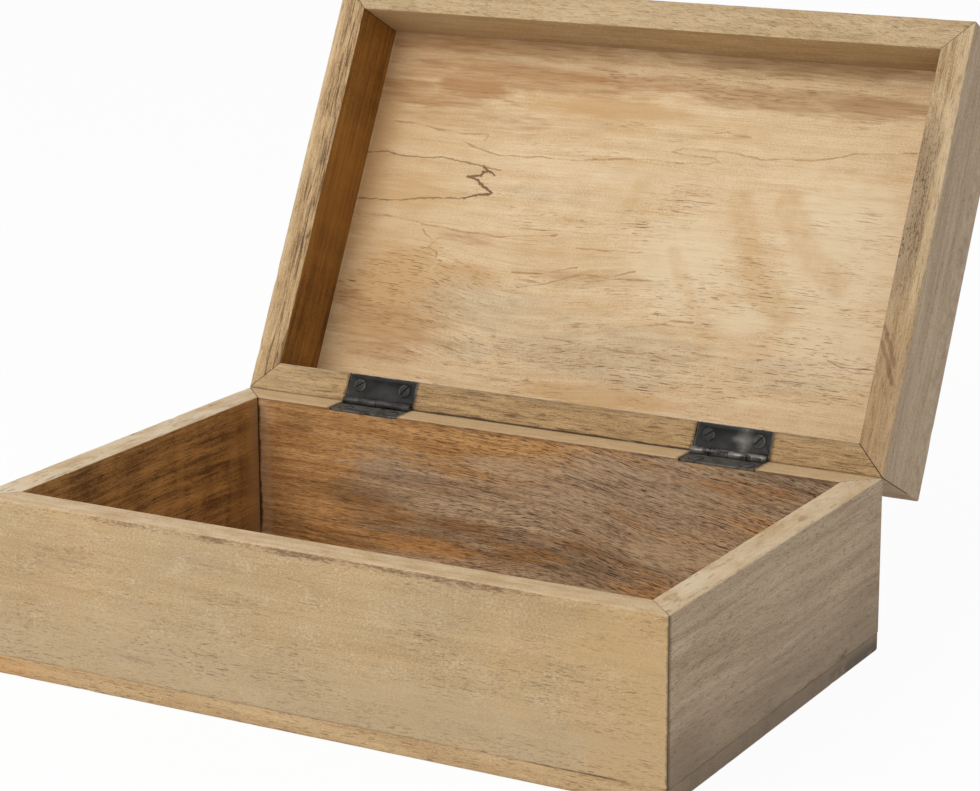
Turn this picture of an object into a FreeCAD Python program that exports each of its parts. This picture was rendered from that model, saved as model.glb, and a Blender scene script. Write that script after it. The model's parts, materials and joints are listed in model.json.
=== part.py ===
import FreeCAD, Part
import math
import os

from FreeCAD import Vector

# Wooden keepsake box with a deep hinged lid, modelled with the lid open.
# Millimetres. Origin under the middle of the base, +X to the right,
# +Y to the hinges at the back, +Z up.

# Box
box_width = 300.0
box_depth = 191.0
box_height = 72.0
bottom_thickness = 8.0

# Lid, as wide and as deep as the box
rail_height = 30.5
top_thickness = 14.0

# The four walls and the four lid rails are cut from one stock
board_thickness = 12.8

# Eased edges
arris_radius = 0.8
inner_arris_radius = 0.4
base_arris_radius = 1.6

# How the lid hangs: the rims stand apart when shut, and the rounded back
# arrises of lid and box meet at the open angle
open_angle = 116.8
rim_gap = 1.2
stop_clearance = 0.25

# Hinges: two rolled leaves on a pin, let into the rims
hinge_spacing = 166.8
leaf_length = 33.5
leaf_thickness = 0.9
leaf_corner_radius = 1.2
knuckles_per_leaf = 2
knuckle_gap = 0.2
roll_seam = 0.2
pin_diameter = 1.8
pin_clearance = 0.05
barrel_clearance = 0.3
mortise_clearance = 0.3

# Slotted countersunk screws, two to a leaf
screw_spacing_share = 0.67
screw_row_share = 0.6
screw_head_diameter = 5.8
screw_head_proud = 0.35
screw_shank_diameter = 2.6
screw_length = 12.0
screw_clearance = 0.05
slot_width = 0.9
slot_depth = 0.55
slot_angle = 45.0

# How far a cutting shape runs past what it cuts, and how near two levels count as one
overrun = 5.0
same_level = 0.000001

# Worked out from the sizes above
half_open = math.radians(open_angle) / 2
round_gain = arris_radius * (math.cos(half_open) + math.sin(half_open) - 1)
stop_reach = rim_gap / 2 * math.cos(half_open) + round_gain - stop_clearance / 2
pin_inset = stop_reach / math.sin(half_open)
pin_y = box_depth / 2 - pin_inset
pin_z = box_height + rim_gap / 2
rim_z = box_height + rim_gap
bore_radius = pin_diameter / 2 + pin_clearance
barrel_radius = bore_radius + leaf_thickness
leaf_width = board_thickness - pin_inset
hinge_places = {"left": -hinge_spacing / 2, "right": hinge_spacing / 2}
x_axis = Vector(1, 0, 0)
y_axis = Vector(0, 1, 0)
z_axis = Vector(0, 0, 1)


def block(low, high):
    """A box between two corners."""
    size = high - low
    return Part.makeBox(size.x, size.y, size.z, low)


def board(width, depth, low, high):
    """A block centred on the Z axis."""
    return block(Vector(-width / 2, -depth / 2, low), Vector(width / 2, depth / 2, high))


def ease(shape, radius, wanted):
    """Round the edges that the test picks by the ends of their extent."""
    edges = [edge for edge in shape.Edges if wanted(edge.BoundBox)]
    return shape.makeFillet(radius, edges)


def level(extent, z):
    """Whether an edge lies in the level plane at z."""
    return max(abs(extent.ZMin - z), abs(extent.ZMax - z)) < same_level


def upright(extent):
    """Whether an edge runs straight up."""
    return extent.ZLength > max(extent.XLength, extent.YLength)


def mitred_frame(low, high, rim):
    """Four boards round the box's outline, with eased outer corners and rim.

    rim is the level of the open side, either low or high. Returns the boards
    by side, cut apart on the mitres.
    """
    outer = board(box_width, box_depth, low, high)
    outer = ease(outer, arris_radius, lambda extent: upright(extent) or level(extent, rim))
    inner_width = box_width - 2 * board_thickness
    inner_depth = box_depth - 2 * board_thickness
    frame = outer.cut(board(inner_width, inner_depth, low - overrun, high + overrun))

    def inner_rim(extent):
        inside = max(abs(extent.XMin), abs(extent.XMax)) < box_width / 2 - board_thickness / 2
        inside = inside and max(abs(extent.YMin), abs(extent.YMax)) < box_depth / 2 - board_thickness / 2
        return inside and level(extent, rim)

    frame = ease(frame, inner_arris_radius, inner_rim)
    outer_x = box_width / 2 + overrun
    outer_y = box_depth / 2 + overrun
    inner_x = box_width / 2 - board_thickness - overrun
    inner_y = box_depth / 2 - board_thickness - overrun
    corners = {
        "front": [(-outer_x, -outer_y), (outer_x, -outer_y), (inner_x, -inner_y), (-inner_x, -inner_y)],
        "back": [(outer_x, outer_y), (-outer_x, outer_y), (-inner_x, inner_y), (inner_x, inner_y)],
        "left": [(-outer_x, outer_y), (-outer_x, -outer_y), (-inner_x, -inner_y), (-inner_x, inner_y)],
        "right": [(outer_x, -outer_y), (outer_x, outer_y), (inner_x, inner_y), (inner_x, -inner_y)],
    }
    sides = {}
    for side, outline in corners.items():
        points = [Vector(x, y, low - overrun) for x, y in outline]
        wedge = Part.Face(Part.makePolygon(points + points[:1]))
        wedge = wedge.extrude(z_axis * (high - low + 2 * overrun))
        sides[side] = frame.common(wedge).Solids[0]
    return sides


def bottom_board():
    """Floor of the box, glued under the walls, with worn lower edges."""
    floor = board(box_width, box_depth, 0, bottom_thickness)
    return ease(floor, base_arris_radius, lambda extent: upright(extent) or level(extent, 0))


def top_board():
    """Lid panel, glued over the rails."""
    low = rim_z + rail_height
    high = low + top_thickness
    panel = board(box_width, box_depth, low, high)
    return ease(panel, arris_radius, lambda extent: upright(extent) or level(extent, high))


def polar(radius, angle):
    """A point round the pin, in the plane across it."""
    return Vector(0, radius * math.cos(angle), radius * math.sin(angle))


def rolled_strip(start, length):
    """One knuckle: the leaf's strip carried on round the pin, open at its seam.

    The pin runs along X through the origin and the strip lies under it.
    """
    root = -(barrel_radius + barrel_clearance + leaf_thickness)
    down = -math.pi / 2
    end = math.pi + math.asin((bore_radius - roll_seam) / barrel_radius)
    middle = (down + end) / 2
    outer_root = Vector(0, root, -barrel_radius)
    inner_root = Vector(0, root, -bore_radius)
    outline = [
        Part.makeLine(outer_root, polar(barrel_radius, down)),
        Part.Arc(polar(barrel_radius, down), polar(barrel_radius, middle), polar(barrel_radius, end)).toShape(),
        Part.makeLine(polar(barrel_radius, end), polar(bore_radius, end)),
        Part.Arc(polar(bore_radius, end), polar(bore_radius, middle), polar(bore_radius, down)).toShape(),
        Part.makeLine(polar(bore_radius, down), inner_root),
        Part.makeLine(inner_root, outer_root),
    ]
    strip = Part.Face(Part.Wire(outline)).extrude(x_axis * length)
    strip.translate(x_axis * start)
    return strip


def screw(clearance=0.0):
    """A countersunk screw down the Z axis, its head a little proud of the origin.

    The head's cone ends where the screw leaves the hinge leaf.
    """
    head = screw_head_diameter / 2 + clearance
    shank = screw_shank_diameter / 2 + clearance
    end = screw_head_proud - screw_length - clearance
    profile = [
        Vector(0, 0, screw_head_proud),
        Vector(head, 0, screw_head_proud),
        Vector(shank, 0, -leaf_thickness),
        Vector(shank, 0, end),
        Vector(0, 0, end),
    ]
    outline = Part.Face(Part.makePolygon(profile + profile[:1]))
    return outline.revolve(Vector(), z_axis, 360)


def slotted_screw():
    """The screw with its driver slot across the head."""
    reach = screw_head_diameter / 2 + overrun
    floor = screw_head_proud - slot_depth
    slot = block(Vector(-reach, -slot_width / 2, floor), Vector(reach, slot_width / 2, overrun))
    slot.rotate(Vector(), z_axis, slot_angle)
    return screw().cut(slot)


def screw_seats(shape):
    """Copies of a shape at the leaf's two screw places."""
    copies = []
    for side in (-1, 1):
        place = shape.copy()
        along = side * leaf_length * screw_spacing_share / 2
        place.translate(Vector(along, -leaf_width * screw_row_share, -bore_radius))
        copies.append(place)
    return copies


def hinge_leaf():
    """One leaf, pin along X through the origin, plate towards -Y and below the pin.

    The same leaf turned over about Y fits between its knuckles.
    """
    half = leaf_length / 2
    edge = -(barrel_radius + barrel_clearance)
    leaf = block(Vector(-half, -leaf_width, -barrel_radius), Vector(half, edge, -bore_radius))

    def free_corner(extent):
        return upright(extent) and extent.YMax < -leaf_width / 2

    leaf = ease(leaf, leaf_corner_radius, free_corner)
    pitch = leaf_length / (2 * knuckles_per_leaf)
    for number in range(knuckles_per_leaf):
        start = -half + (2 * number + 1) * pitch + knuckle_gap / 2
        leaf = leaf.fuse(rolled_strip(start, pitch - knuckle_gap))
    for void in screw_seats(screw(screw_clearance)):
        leaf = leaf.cut(void)
    return leaf.removeSplitter()


def hinge_pin():
    """The pin, cut off flush with the ends of the leaves."""
    return Part.makeCylinder(pin_diameter / 2, leaf_length, Vector(-leaf_length / 2, 0, 0), x_axis)


def mortise_voids():
    """What one leaf and its screws take out of a rim, below the pin."""
    half = leaf_length / 2 + mortise_clearance
    back = barrel_radius + overrun
    front = -leaf_width - overrun
    roll = barrel_radius + barrel_clearance
    seat = block(Vector(-half, front, -barrel_radius), Vector(half, back, overrun))
    relief = block(Vector(-half, -roll, -roll), Vector(half, back, overrun))
    return [seat, relief] + screw_seats(screw(screw_clearance))


def on_box(shape, along):
    """A hinge shape set in its place on the box's back wall."""
    placed = shape.copy()
    placed.translate(Vector(along, pin_y, pin_z))
    return placed


def on_lid(shape, along):
    """A hinge shape turned over onto the shut lid's back rail."""
    placed = shape.copy()
    placed.rotate(Vector(), y_axis, 180)
    placed.translate(Vector(along, pin_y, pin_z))
    return placed


def let_in(rim_board, place):
    """A back board with both hinges' mortises and screw holes cut."""
    for along in hinge_places.values():
        for void in mortise_voids():
            rim_board = rim_board.cut(place(void, along))
    return rim_board.Solids[0]


def hinge_nodes(place, body):
    """Leaves and screws of both hinges on one body, by node name."""
    leaf = hinge_leaf()
    fastener = slotted_screw()
    nodes = {}
    for side, along in hinge_places.items():
        nodes[f"{side}_hinge_{body}_leaf"] = place(leaf, along)
        screws = [place(one, along) for one in screw_seats(fastener)]
        nodes[f"{side}_hinge_{body}_screws"] = Part.makeCompound(screws)
    return nodes


def box_nodes():
    """Everything that stands still."""
    walls = mitred_frame(bottom_thickness, box_height, box_height)
    walls["back"] = let_in(walls["back"], on_box)
    nodes = {f"{side}_wall": wall for side, wall in walls.items()}
    nodes["bottom_board"] = bottom_board()
    nodes.update(hinge_nodes(on_box, "box"))
    for side, along in hinge_places.items():
        nodes[f"{side}_hinge_pin"] = on_box(hinge_pin(), along)
    return nodes


def lid_nodes():
    """Everything that swings, built shut and then opened about the pins."""
    rails = mitred_frame(rim_z, rim_z + rail_height, rim_z)
    rails["back"] = let_in(rails["back"], on_lid)
    nodes = {f"lid_{side}_rail": rail for side, rail in rails.items()}
    nodes["lid_top_board"] = top_board()
    nodes.update(hinge_nodes(on_lid, "lid"))
    for shape in nodes.values():
        shape.rotate(Vector(0, pin_y, pin_z), x_axis, -open_angle)
    return nodes


def main():
    os.makedirs("parts", exist_ok=True)
    print("pin at y", round(pin_y, 4), "z", round(pin_z, 4))
    for nodes in (box_nodes(), lid_nodes()):
        for name, shape in nodes.items():
            shape.exportStep(f"parts/{name}.step")
            print(name, len(shape.Solids), "solids", round(shape.Volume, 1), "mm3", shape.isValid())


main()
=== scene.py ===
import functools
import json
import math

import bmesh
import bpy
from mathutils import Matrix, Vector, noise


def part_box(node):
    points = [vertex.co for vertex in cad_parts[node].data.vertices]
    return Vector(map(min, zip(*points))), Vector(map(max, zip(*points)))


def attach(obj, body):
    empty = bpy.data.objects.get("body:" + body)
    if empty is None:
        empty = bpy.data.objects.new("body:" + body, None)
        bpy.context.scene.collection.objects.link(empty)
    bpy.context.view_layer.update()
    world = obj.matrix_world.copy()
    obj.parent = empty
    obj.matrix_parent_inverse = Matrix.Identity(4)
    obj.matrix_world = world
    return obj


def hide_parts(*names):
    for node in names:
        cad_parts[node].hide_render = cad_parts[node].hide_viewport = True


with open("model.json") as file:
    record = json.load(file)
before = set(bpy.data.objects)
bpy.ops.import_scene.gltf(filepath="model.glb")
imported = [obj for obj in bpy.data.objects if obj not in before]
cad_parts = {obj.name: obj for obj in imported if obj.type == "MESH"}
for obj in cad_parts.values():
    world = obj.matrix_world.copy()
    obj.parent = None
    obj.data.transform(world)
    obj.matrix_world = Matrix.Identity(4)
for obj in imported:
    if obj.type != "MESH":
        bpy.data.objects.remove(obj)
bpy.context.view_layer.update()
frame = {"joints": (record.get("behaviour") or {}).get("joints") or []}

bl_info = {
    "name": "Wooden Keepsake Box",
    "version": (1, 0, 0),
    "blender": (4, 5, 0),
    "location": "3D View > Sidebar > Keepsake Box",
    "description": "Builds a mitred wooden box with a deep hinged lid on its packed frame",
    "category": "Object",
}

# Sizes read from the frame, in metres
MM = 0.001
joint = frame["joints"][0]
pin_place = Vector(joint["pos_m"])
wall_low, wall_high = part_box("front_wall")
base_low, base_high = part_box("bottom_board")
box_width = base_high.x - base_low.x
box_depth = base_high.y - base_low.y
base_thickness = base_high.z - base_low.z
board_thickness = wall_high.y - wall_low.y
wall_height = wall_high.z - wall_low.z
rim_gap = 2 * (pin_place.z - wall_high.z)

# The lid as it hangs in the frame, and the turn that opens the shut lid
open_angle = math.radians(116.8)
rail_height = 30.5 * MM
panel_thickness = 14.0 * MM
lid_rim = wall_high.z + rim_gap
opened = (
    Matrix.Translation(pin_place)
    @ Matrix.Rotation(-open_angle, 4, "X")
    @ Matrix.Translation(-pin_place)
)

# The photograph's camera, in metres and degrees
PHOTO_WIDTH = 980
FOCAL_PIXELS = 3005.48
SENSOR_WIDTH = 36.0
CAMERA_PLACE = (0.57524, -0.97121, 0.40453)
CAMERA_YAW = 29.487
CAMERA_PITCH = 14.687
CAMERA_ROLL = 0.234


def srgb(red, green, blue):
    """A colour read off in 0 to 255, as scene linear values."""
    values = []
    for channel in (red, green, blue):
        share = channel / 255
        values.append(share / 12.92 if share <= 0.04045 else ((share + 0.055) / 1.055) ** 2.4)
    return tuple(values)


def length(name, description, millimetres):
    """A size that a user may change."""
    return bpy.props.FloatProperty(
        name=name, description=description, default=millimetres * MM, min=0.0, precision=5, unit="LENGTH"
    )


def tint(name, description, red, green, blue):
    """A colour that a user may change."""
    shade = srgb(red, green, blue)
    return bpy.props.FloatVectorProperty(
        name=name, description=description, default=shade, min=0.0, max=1.0, size=3, subtype="COLOR"
    )


def level(name, description, value):
    """A plain number that a user may change."""
    return bpy.props.FloatProperty(name=name, description=description, default=value, min=0.0)


class KeepsakeBoardSizes(bpy.types.PropertyGroup):
    """Edges and wear of the boards."""

    arris: length("Arris", "Rounding of the outer rim edges", 0.8)
    inner_arris: length("Inner arris", "Rounding of the inner rim edges", 0.4)
    corner: length("Corner", "Rounding of the upright corners", 0.8)
    base_arris: length("Base arris", "Rounding of the worn lower edges", 1.6)
    wear: length("Wear", "How much the arrises vary along a board", 0.35)
    nick: length("Nick", "Depth of the knocks along an arris", 0.9)
    mitre_gap: length("Mitre gap", "Space that shrinkage left at a mitre", 0.06)
    seam: length("Seam", "Easing of the boards where they meet at a seam", 0.2)
    station: length("Station", "Spacing of the mesh along a board", 1.5)


class KeepsakeHingeSizes(bpy.types.PropertyGroup):
    """The hinges, their pins and screws."""

    spacing: length("Hinge spacing", "Distance between the middles of the hinges", 166.8)
    leaf_length: length("Leaf length", "Length of a leaf along the pin", 33.5)
    leaf_width: length("Leaf width", "From the pin to the leaf's free edge", 12.22)
    leaf_thickness: length("Leaf thickness", "Thickness of the sheet", 0.9)
    leaf_corner: length("Leaf corner", "Rounding of the leaf's free corners", 1.2)
    pin_radius: length("Pin radius", "Radius of the pin", 0.9)
    bore: length("Bore radius", "Inside radius of a knuckle", 0.95)
    knuckle_gap: length("Knuckle gap", "Space between neighbouring knuckles", 0.2)
    clearance: length("Mortise clearance", "Space round a leaf in its mortise", 0.3)
    bevel: length("Bevel", "Softness of the sheet's edges", 0.14)
    screw_spacing: length("Screw spacing", "Distance between a leaf's two screws", 22.445)
    screw_row: length("Screw row", "From the pin to the screws", 7.335)
    screw_head: length("Screw head", "Diameter of a screw head", 5.8)
    screw_proud: length("Screw proud", "Height of a screw head above the leaf", 0.35)
    screw_shank: length("Screw shank", "Diameter of a screw below its head", 2.6)
    screw_length: length("Screw length", "Length of a screw", 12.0)
    slot_width: length("Slot width", "Width of the driver slot", 0.9)
    slot_depth: length("Slot depth", "Depth of the driver slot", 0.5)


class KeepsakeColours(bpy.types.PropertyGroup):
    """Colours of the boards, the figure in them and the ironwork."""

    front_pale: tint("Front pale", "Outside of the front and back, light grain", 207, 182, 142)
    front_deep: tint("Front deep", "Outside of the front and back, dark grain", 173, 146, 108)
    front_warm: tint("Front warm", "Yellowed patches of the front", 206, 168, 116)
    front_grey: tint("Front grey", "Greyed patches of the front", 190, 170, 140)
    smudge: tint("Smudge", "Dull smudges on the front and the lid's right rail", 146, 126, 100)
    bleached: tint("Bleached", "Bleached specks and patches of the rims", 232, 214, 186)
    base_pale: tint("Base pale", "Base board edges, light grain", 214, 186, 143)
    base_deep: tint("Base deep", "Base board edges, dark grain", 174, 142, 103)
    rim_pale: tint("Rim pale", "Sawn rims of the box, light grain", 222, 197, 160)
    rim_deep: tint("Rim deep", "Sawn rims of the box, dark grain", 190, 159, 118)
    side_pale: tint("Side pale", "Outside of the sides, light grain", 210, 188, 158)
    side_deep: tint("Side deep", "Outside of the sides, dark grain", 158, 132, 104)
    side_low: tint("Side low", "Darker foot of the right wall", 122, 102, 80)
    back_pale: tint("Back pale", "Inside of the back wall, light grain", 229, 181, 122)
    back_deep: tint("Back deep", "Inside of the back wall, dark grain", 174, 124, 73)
    back_glow: tint("Back glow", "Orange foot inside the back wall", 208, 152, 88)
    smoke_pale: tint("Smoke pale", "Smoky figure inside the back wall, light grain", 214, 188, 158)
    smoke_deep: tint("Smoke deep", "Smoky figure inside the back wall, dark grain", 150, 127, 103)
    # Left and dark tones are darker wood with painted shade: left for the insides of the side walls, dark
    # for the insides of the lid rails.
    left_pale: tint("Left pale", "Inside of the left wall, light grain", 201, 151, 89)
    left_deep: tint("Left deep", "Inside of the left wall, dark grain", 111, 76, 38)
    dark_pale: tint("Dark pale", "Shaded insides, light grain", 170, 119, 50)
    dark_deep: tint("Dark deep", "Shaded insides, dark grain", 106, 70, 27)
    rail_pale: tint("Rail pale", "Left lid rail, light grain", 216, 184, 139)
    rail_light: tint("Rail light", "Front lid rail, light grain", 214, 189, 151)
    rail_grey: tint("Rail grey", "Front lid rail, dark grain", 174, 147, 108)
    rail_tan: tint("Rail tan", "Right and back lid rails, light grain", 203, 170, 122)
    rail_deep: tint("Rail deep", "Sawn rims of the lid, dark grain", 152, 118, 77)
    panel_pale: tint("Panel pale", "Inside of the lid panel, light grain", 239, 215, 177)
    panel_deep: tint("Panel deep", "Inside of the lid panel, dark grain", 208, 171, 122)
    panel_light: tint("Panel light", "Palest patches of the lid panel", 242, 223, 190)
    panel_tan: tint("Panel tan", "Tan wisps and bars of the lid panel", 208, 166, 112)
    panel_band: tint("Panel band", "Brown bands of the lid panel", 187, 145, 100)
    panel_dark: tint("Panel dark", "Dark wisps in the brown bands", 150, 104, 64)
    panel_vein: tint("Panel vein", "Faint lines and fine pores of the lid panel", 160, 110, 52)
    panel_grey: tint("Panel grey", "Grey bloom of the lid panel, light grain", 224, 203, 170)
    panel_ash: tint("Panel ash", "Grey bloom of the lid panel, dark grain", 178, 155, 122)
    panel_pore: tint("Panel pore", "Bold pores of the lid panel", 116, 78, 38)
    back_pore: tint("Back pore", "Open pores inside the back wall", 62, 38, 20)
    spalt: tint("Spalt", "Thin dark lines of the lid panel", 100, 60, 26)
    pore: tint("Pore", "Open pores", 86, 58, 34)
    grime: tint("Grime", "Dirt in worn arrises", 114, 82, 62)
    # Stain also colours the painted shadow in the gap between lid and box and at the mortise ends.
    stain_and_shade: tint("Stain", "Dark stains along the lower edges and in gaps", 58, 42, 30)
    iron: tint("Iron", "Blackened iron", 15, 15, 16)
    # Grey iron also covers the box leaves, painted lighter for the light that falls on them from above.
    iron_grey: tint("Grey iron", "Patches where the black has thinned", 58, 57, 53)
    # Worn iron also colours painted highlights on the knuckles, one lid leaf and the screw heads, and
    # lightens the box leaves.
    iron_wear_and_highlight: tint("Worn iron", "Iron rubbed bright on the knuckles", 146, 143, 138)
    floor: tint("Floor", "Studio floor", 250, 250, 250)


class KeepsakeLight(bpy.types.PropertyGroup):
    """Studio light."""

    key: level("Key", "Power of the large lamp at the front left, in watts", 15.0)
    fill: level("Fill", "Strength of the even light from all round", 0.5)


class Wire:
    """A node socket that reads like a value in an expression."""

    def __init__(self, tree, socket=None):
        self.tree = tree
        self.socket = socket

    def add(self, kind, settings=None, sockets=None, output=0):
        """Add a node: its settings first, then the values or links of its sockets."""
        node = self.tree.nodes.new(kind)
        for name, value in (settings or {}).items():
            setattr(node, name, value)
        for key, value in (sockets or {}).items():
            if isinstance(value, Wire):
                self.tree.links.new(value.socket, node.inputs[key])
            else:
                node.inputs[key].default_value = value
        return Wire(self.tree, node.outputs[output])

    def beside(self, output):
        """Another output of the same node."""
        return Wire(self.tree, self.socket.node.outputs[output])

    def maths(self, operation, first, second=0.0):
        return self.add("ShaderNodeMath", {"operation": operation}, {0: first, 1: second})

    def __add__(self, other):
        return self.maths("ADD", self, other)

    def __radd__(self, other):
        return self.maths("ADD", other, self)

    def __sub__(self, other):
        return self.maths("SUBTRACT", self, other)

    def __rsub__(self, other):
        return self.maths("SUBTRACT", other, self)

    def __mul__(self, other):
        return self.maths("MULTIPLY", self, other)

    def __rmul__(self, other):
        return self.maths("MULTIPLY", other, self)

    def __abs__(self):
        return self.maths("ABSOLUTE", self)

    def above(self, other):
        """The larger of two values."""
        return self.maths("MAXIMUM", self, other)

    def below(self, other):
        """The smaller of two values."""
        return self.maths("MINIMUM", self, other)

    def vector(self, operation, first, second, output="Vector"):
        """Vector maths on two vectors, or on a vector and the number that scales it."""
        sockets = {0: first, "Scale" if operation == "SCALE" else 1: second}
        return self.add("ShaderNodeVectorMath", {"operation": operation}, sockets, output)


def rise(value, low, high):
    """0 at low, 1 at high and smooth between; falls where high is the lower."""
    settings = {"interpolation_type": "SMOOTHSTEP"}
    return value.add("ShaderNodeMapRange", settings, {"Value": value, "From Min": low, "From Max": high})


def mix(factor, first, second):
    """A colour between two others."""
    settings = {"data_type": "RGBA", "clamp_factor": True}
    sockets = {0: factor, 6: opaque(first), 7: opaque(second)}
    return factor.add("ShaderNodeMix", settings, sockets, 2)


def lay(under, tone, mask, strength):
    """A tone laid over a colour where a mask says so, at most as strong as said."""
    return mix(mask * strength, under, tone)


def opaque(colour):
    """A colour with its alpha, or a wire as it is."""
    return colour if isinstance(colour, Wire) else (*colour[:3], 1.0)


def stretched(point, lengths):
    """Board coordinates counted in lengths of a pattern."""
    return point.vector("MULTIPLY", point, tuple(1 / part for part in lengths))


def cloud(point, lengths, detail=2.0, roughness=0.5, distortion=0.0):
    """Soft noise about zero, with its lengths along, through and across the board."""
    sockets = {
        "Vector": stretched(point, lengths),
        "Scale": 1.0,
        "Detail": detail,
        "Roughness": roughness,
        "Distortion": distortion,
    }
    return point.add("ShaderNodeTexNoise", None, sockets) - 0.5


def moved(point, by):
    """A point shifted by a vector."""
    return point.vector("ADD", point, by)


def board_point(sheet, place):
    """Board coordinates in millimetres: along the grain, through the board, across the grain."""
    to_board = place.inverted()
    where = sheet.add("ShaderNodeTexCoord", output="Object")
    sockets = {"Vector": where, "Location": to_board.translation, "Rotation": to_board.to_euler()}
    turned = sheet.add("ShaderNodeMapping", None, sockets)
    return turned.vector("SCALE", turned, 1 / MM)


def parts_of(point):
    """The three coordinates of a point."""
    split = point.add("ShaderNodeSeparateXYZ", None, {0: point})
    return split, split.beside("Y"), split.beside("Z")


# Where each board is cut from the log, in millimetres along, through and across the grain
CUTS = {
    "front wall wood": (310.0, 40.0, 20.0),
    "back wall wood": (-820.0, 90.0, 330.0),
    "left wall wood": (120.0, -300.0, 640.0),
    "right wall wood": (-240.0, 500.0, -410.0),
    "base wood": (40.0, 700.0, -90.0),
    "lid front rail wood": (510.0, 240.0, 120.0),
    "lid back rail wood": (-420.0, 190.0, -330.0),
    "lid left rail wood": (720.0, -100.0, 240.0),
    "lid right rail wood": (-640.0, -500.0, 510.0),
    "lid panel wood": (-90.0, 320.0, 880.0),
}

# How the grain wanders: lengths of its waves, its slope and the eddy round a knot, in millimetres
SWAY_WAVE = (150.0, 60.0, 50.0)
RIPPLE_WAVE = (38.0, 20.0, 13.0)
SLOPE_START = 20.0
SLOPE_END = -50.0
EDDY_ALONG = -42.0
EDDY_ACROSS = 46.0
EDDY_LENGTH = 62.0
EDDY_WIDTH = 60.0
EDDY_CORE = 4.0
LEAN_THROUGH = 0.15

# Noise that every board shares: length and width in millimetres, and detail
FIBRE = (40.0, 0.5, 3.0)
GRIT = (1.0, 0.5, 1.0)
RAGGED = (24.0, 5.0, 5.0)
TORN = (16.0, 1.5, 5.0)
STREAK_ROUGHNESS = 0.62
WISP_DETAIL = 5.0
WISP_ROUGHNESS = 0.66
WISP_CURL = 0.6
PATCH_ROUGHNESS = 0.55
FLECK_DETAIL = 1.5
FLECK_EDGE = 0.06
MITRE_WAVE = (9.0, 9.0, 9.0)
MITRE_CORE = 0.35

# Spots of the figure: how ragged they are, and where they end and are full, in half lengths
SPOT_RAG = 1.2
SPOT_END = 1.3
SPOT_FULL = 0.3
SPOT_LEVELS = (0.12, 0.8)
SPOT_FLOOR = 0.25
SHAKE_ALONG = 1.6

# Width of the change from one face of a board to the next, in millimetres
INSIDE_START = 0.5
RIM_START = 0.5
RIM_FULL = 0.1
END_START = 0.6
END_FULL = 0.2

# Open pores of each wood: length and width in millimetres, the noise level where they begin; their strength
RIM_DUST = (3.4, 0.5, 0.13)
FRONT_FINE = (3.0, 0.34, 0.1)
FRONT_BOLD = (6.5, 0.42, 0.14)
FRONT_INSIDE = (6.0, 0.4, 0.08)
BACK_FINE = (3.6, 0.3, 0.055)
BACK_BOLD = (6.0, 0.36, 0.085)
LEFT_FINE = (5.5, 0.45, 0.07)
RIGHT_FINE = (4.5, 0.4, 0.09)
BASE_FINE = (4.5, 0.42, 0.1)
RAIL_FINE = (5.0, 0.45, 0.09)
RAIL_PORES = 0.35
PANEL_FINE = (5.0, 0.34, 0.11)
PANEL_BOLD = (12.0, 0.42, 0.14)

# Mitres: width in millimetres, and the darkness at a board's two ends
FRONT_MITRE = (0.42, 0.3, 0.45)
BACK_MITRE = (0.5, 0.35, 0.7)
LEFT_MITRE = (0.5, 0.7, 0.35)
RIGHT_MITRE = (0.42, 0.45, 0.35)
FRONT_RAIL_MITRE = (0.42, 0.3, 0.6)
BACK_RAIL_MITRE = (0.42, 0.6, 0.95)
LEFT_RAIL_MITRE = (0.42, 0.6, 0.6)
RIGHT_RAIL_MITRE = (0.42, 0.95, 0.3)

# Finish of the wood
WOOD_SPECULAR = 0.3
WOOD_ROUGHNESS = 0.62
FIBRE_ROUGHNESS = 0.2
PORE_ROUGHNESS = 0.12
FIBRE_RELIEF = 0.35
GRIT_RELIEF = 0.3
PORE_RELIEF = 0.8
WOOD_BUMP = 0.45
WOOD_RELIEF = 0.14 * MM


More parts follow.
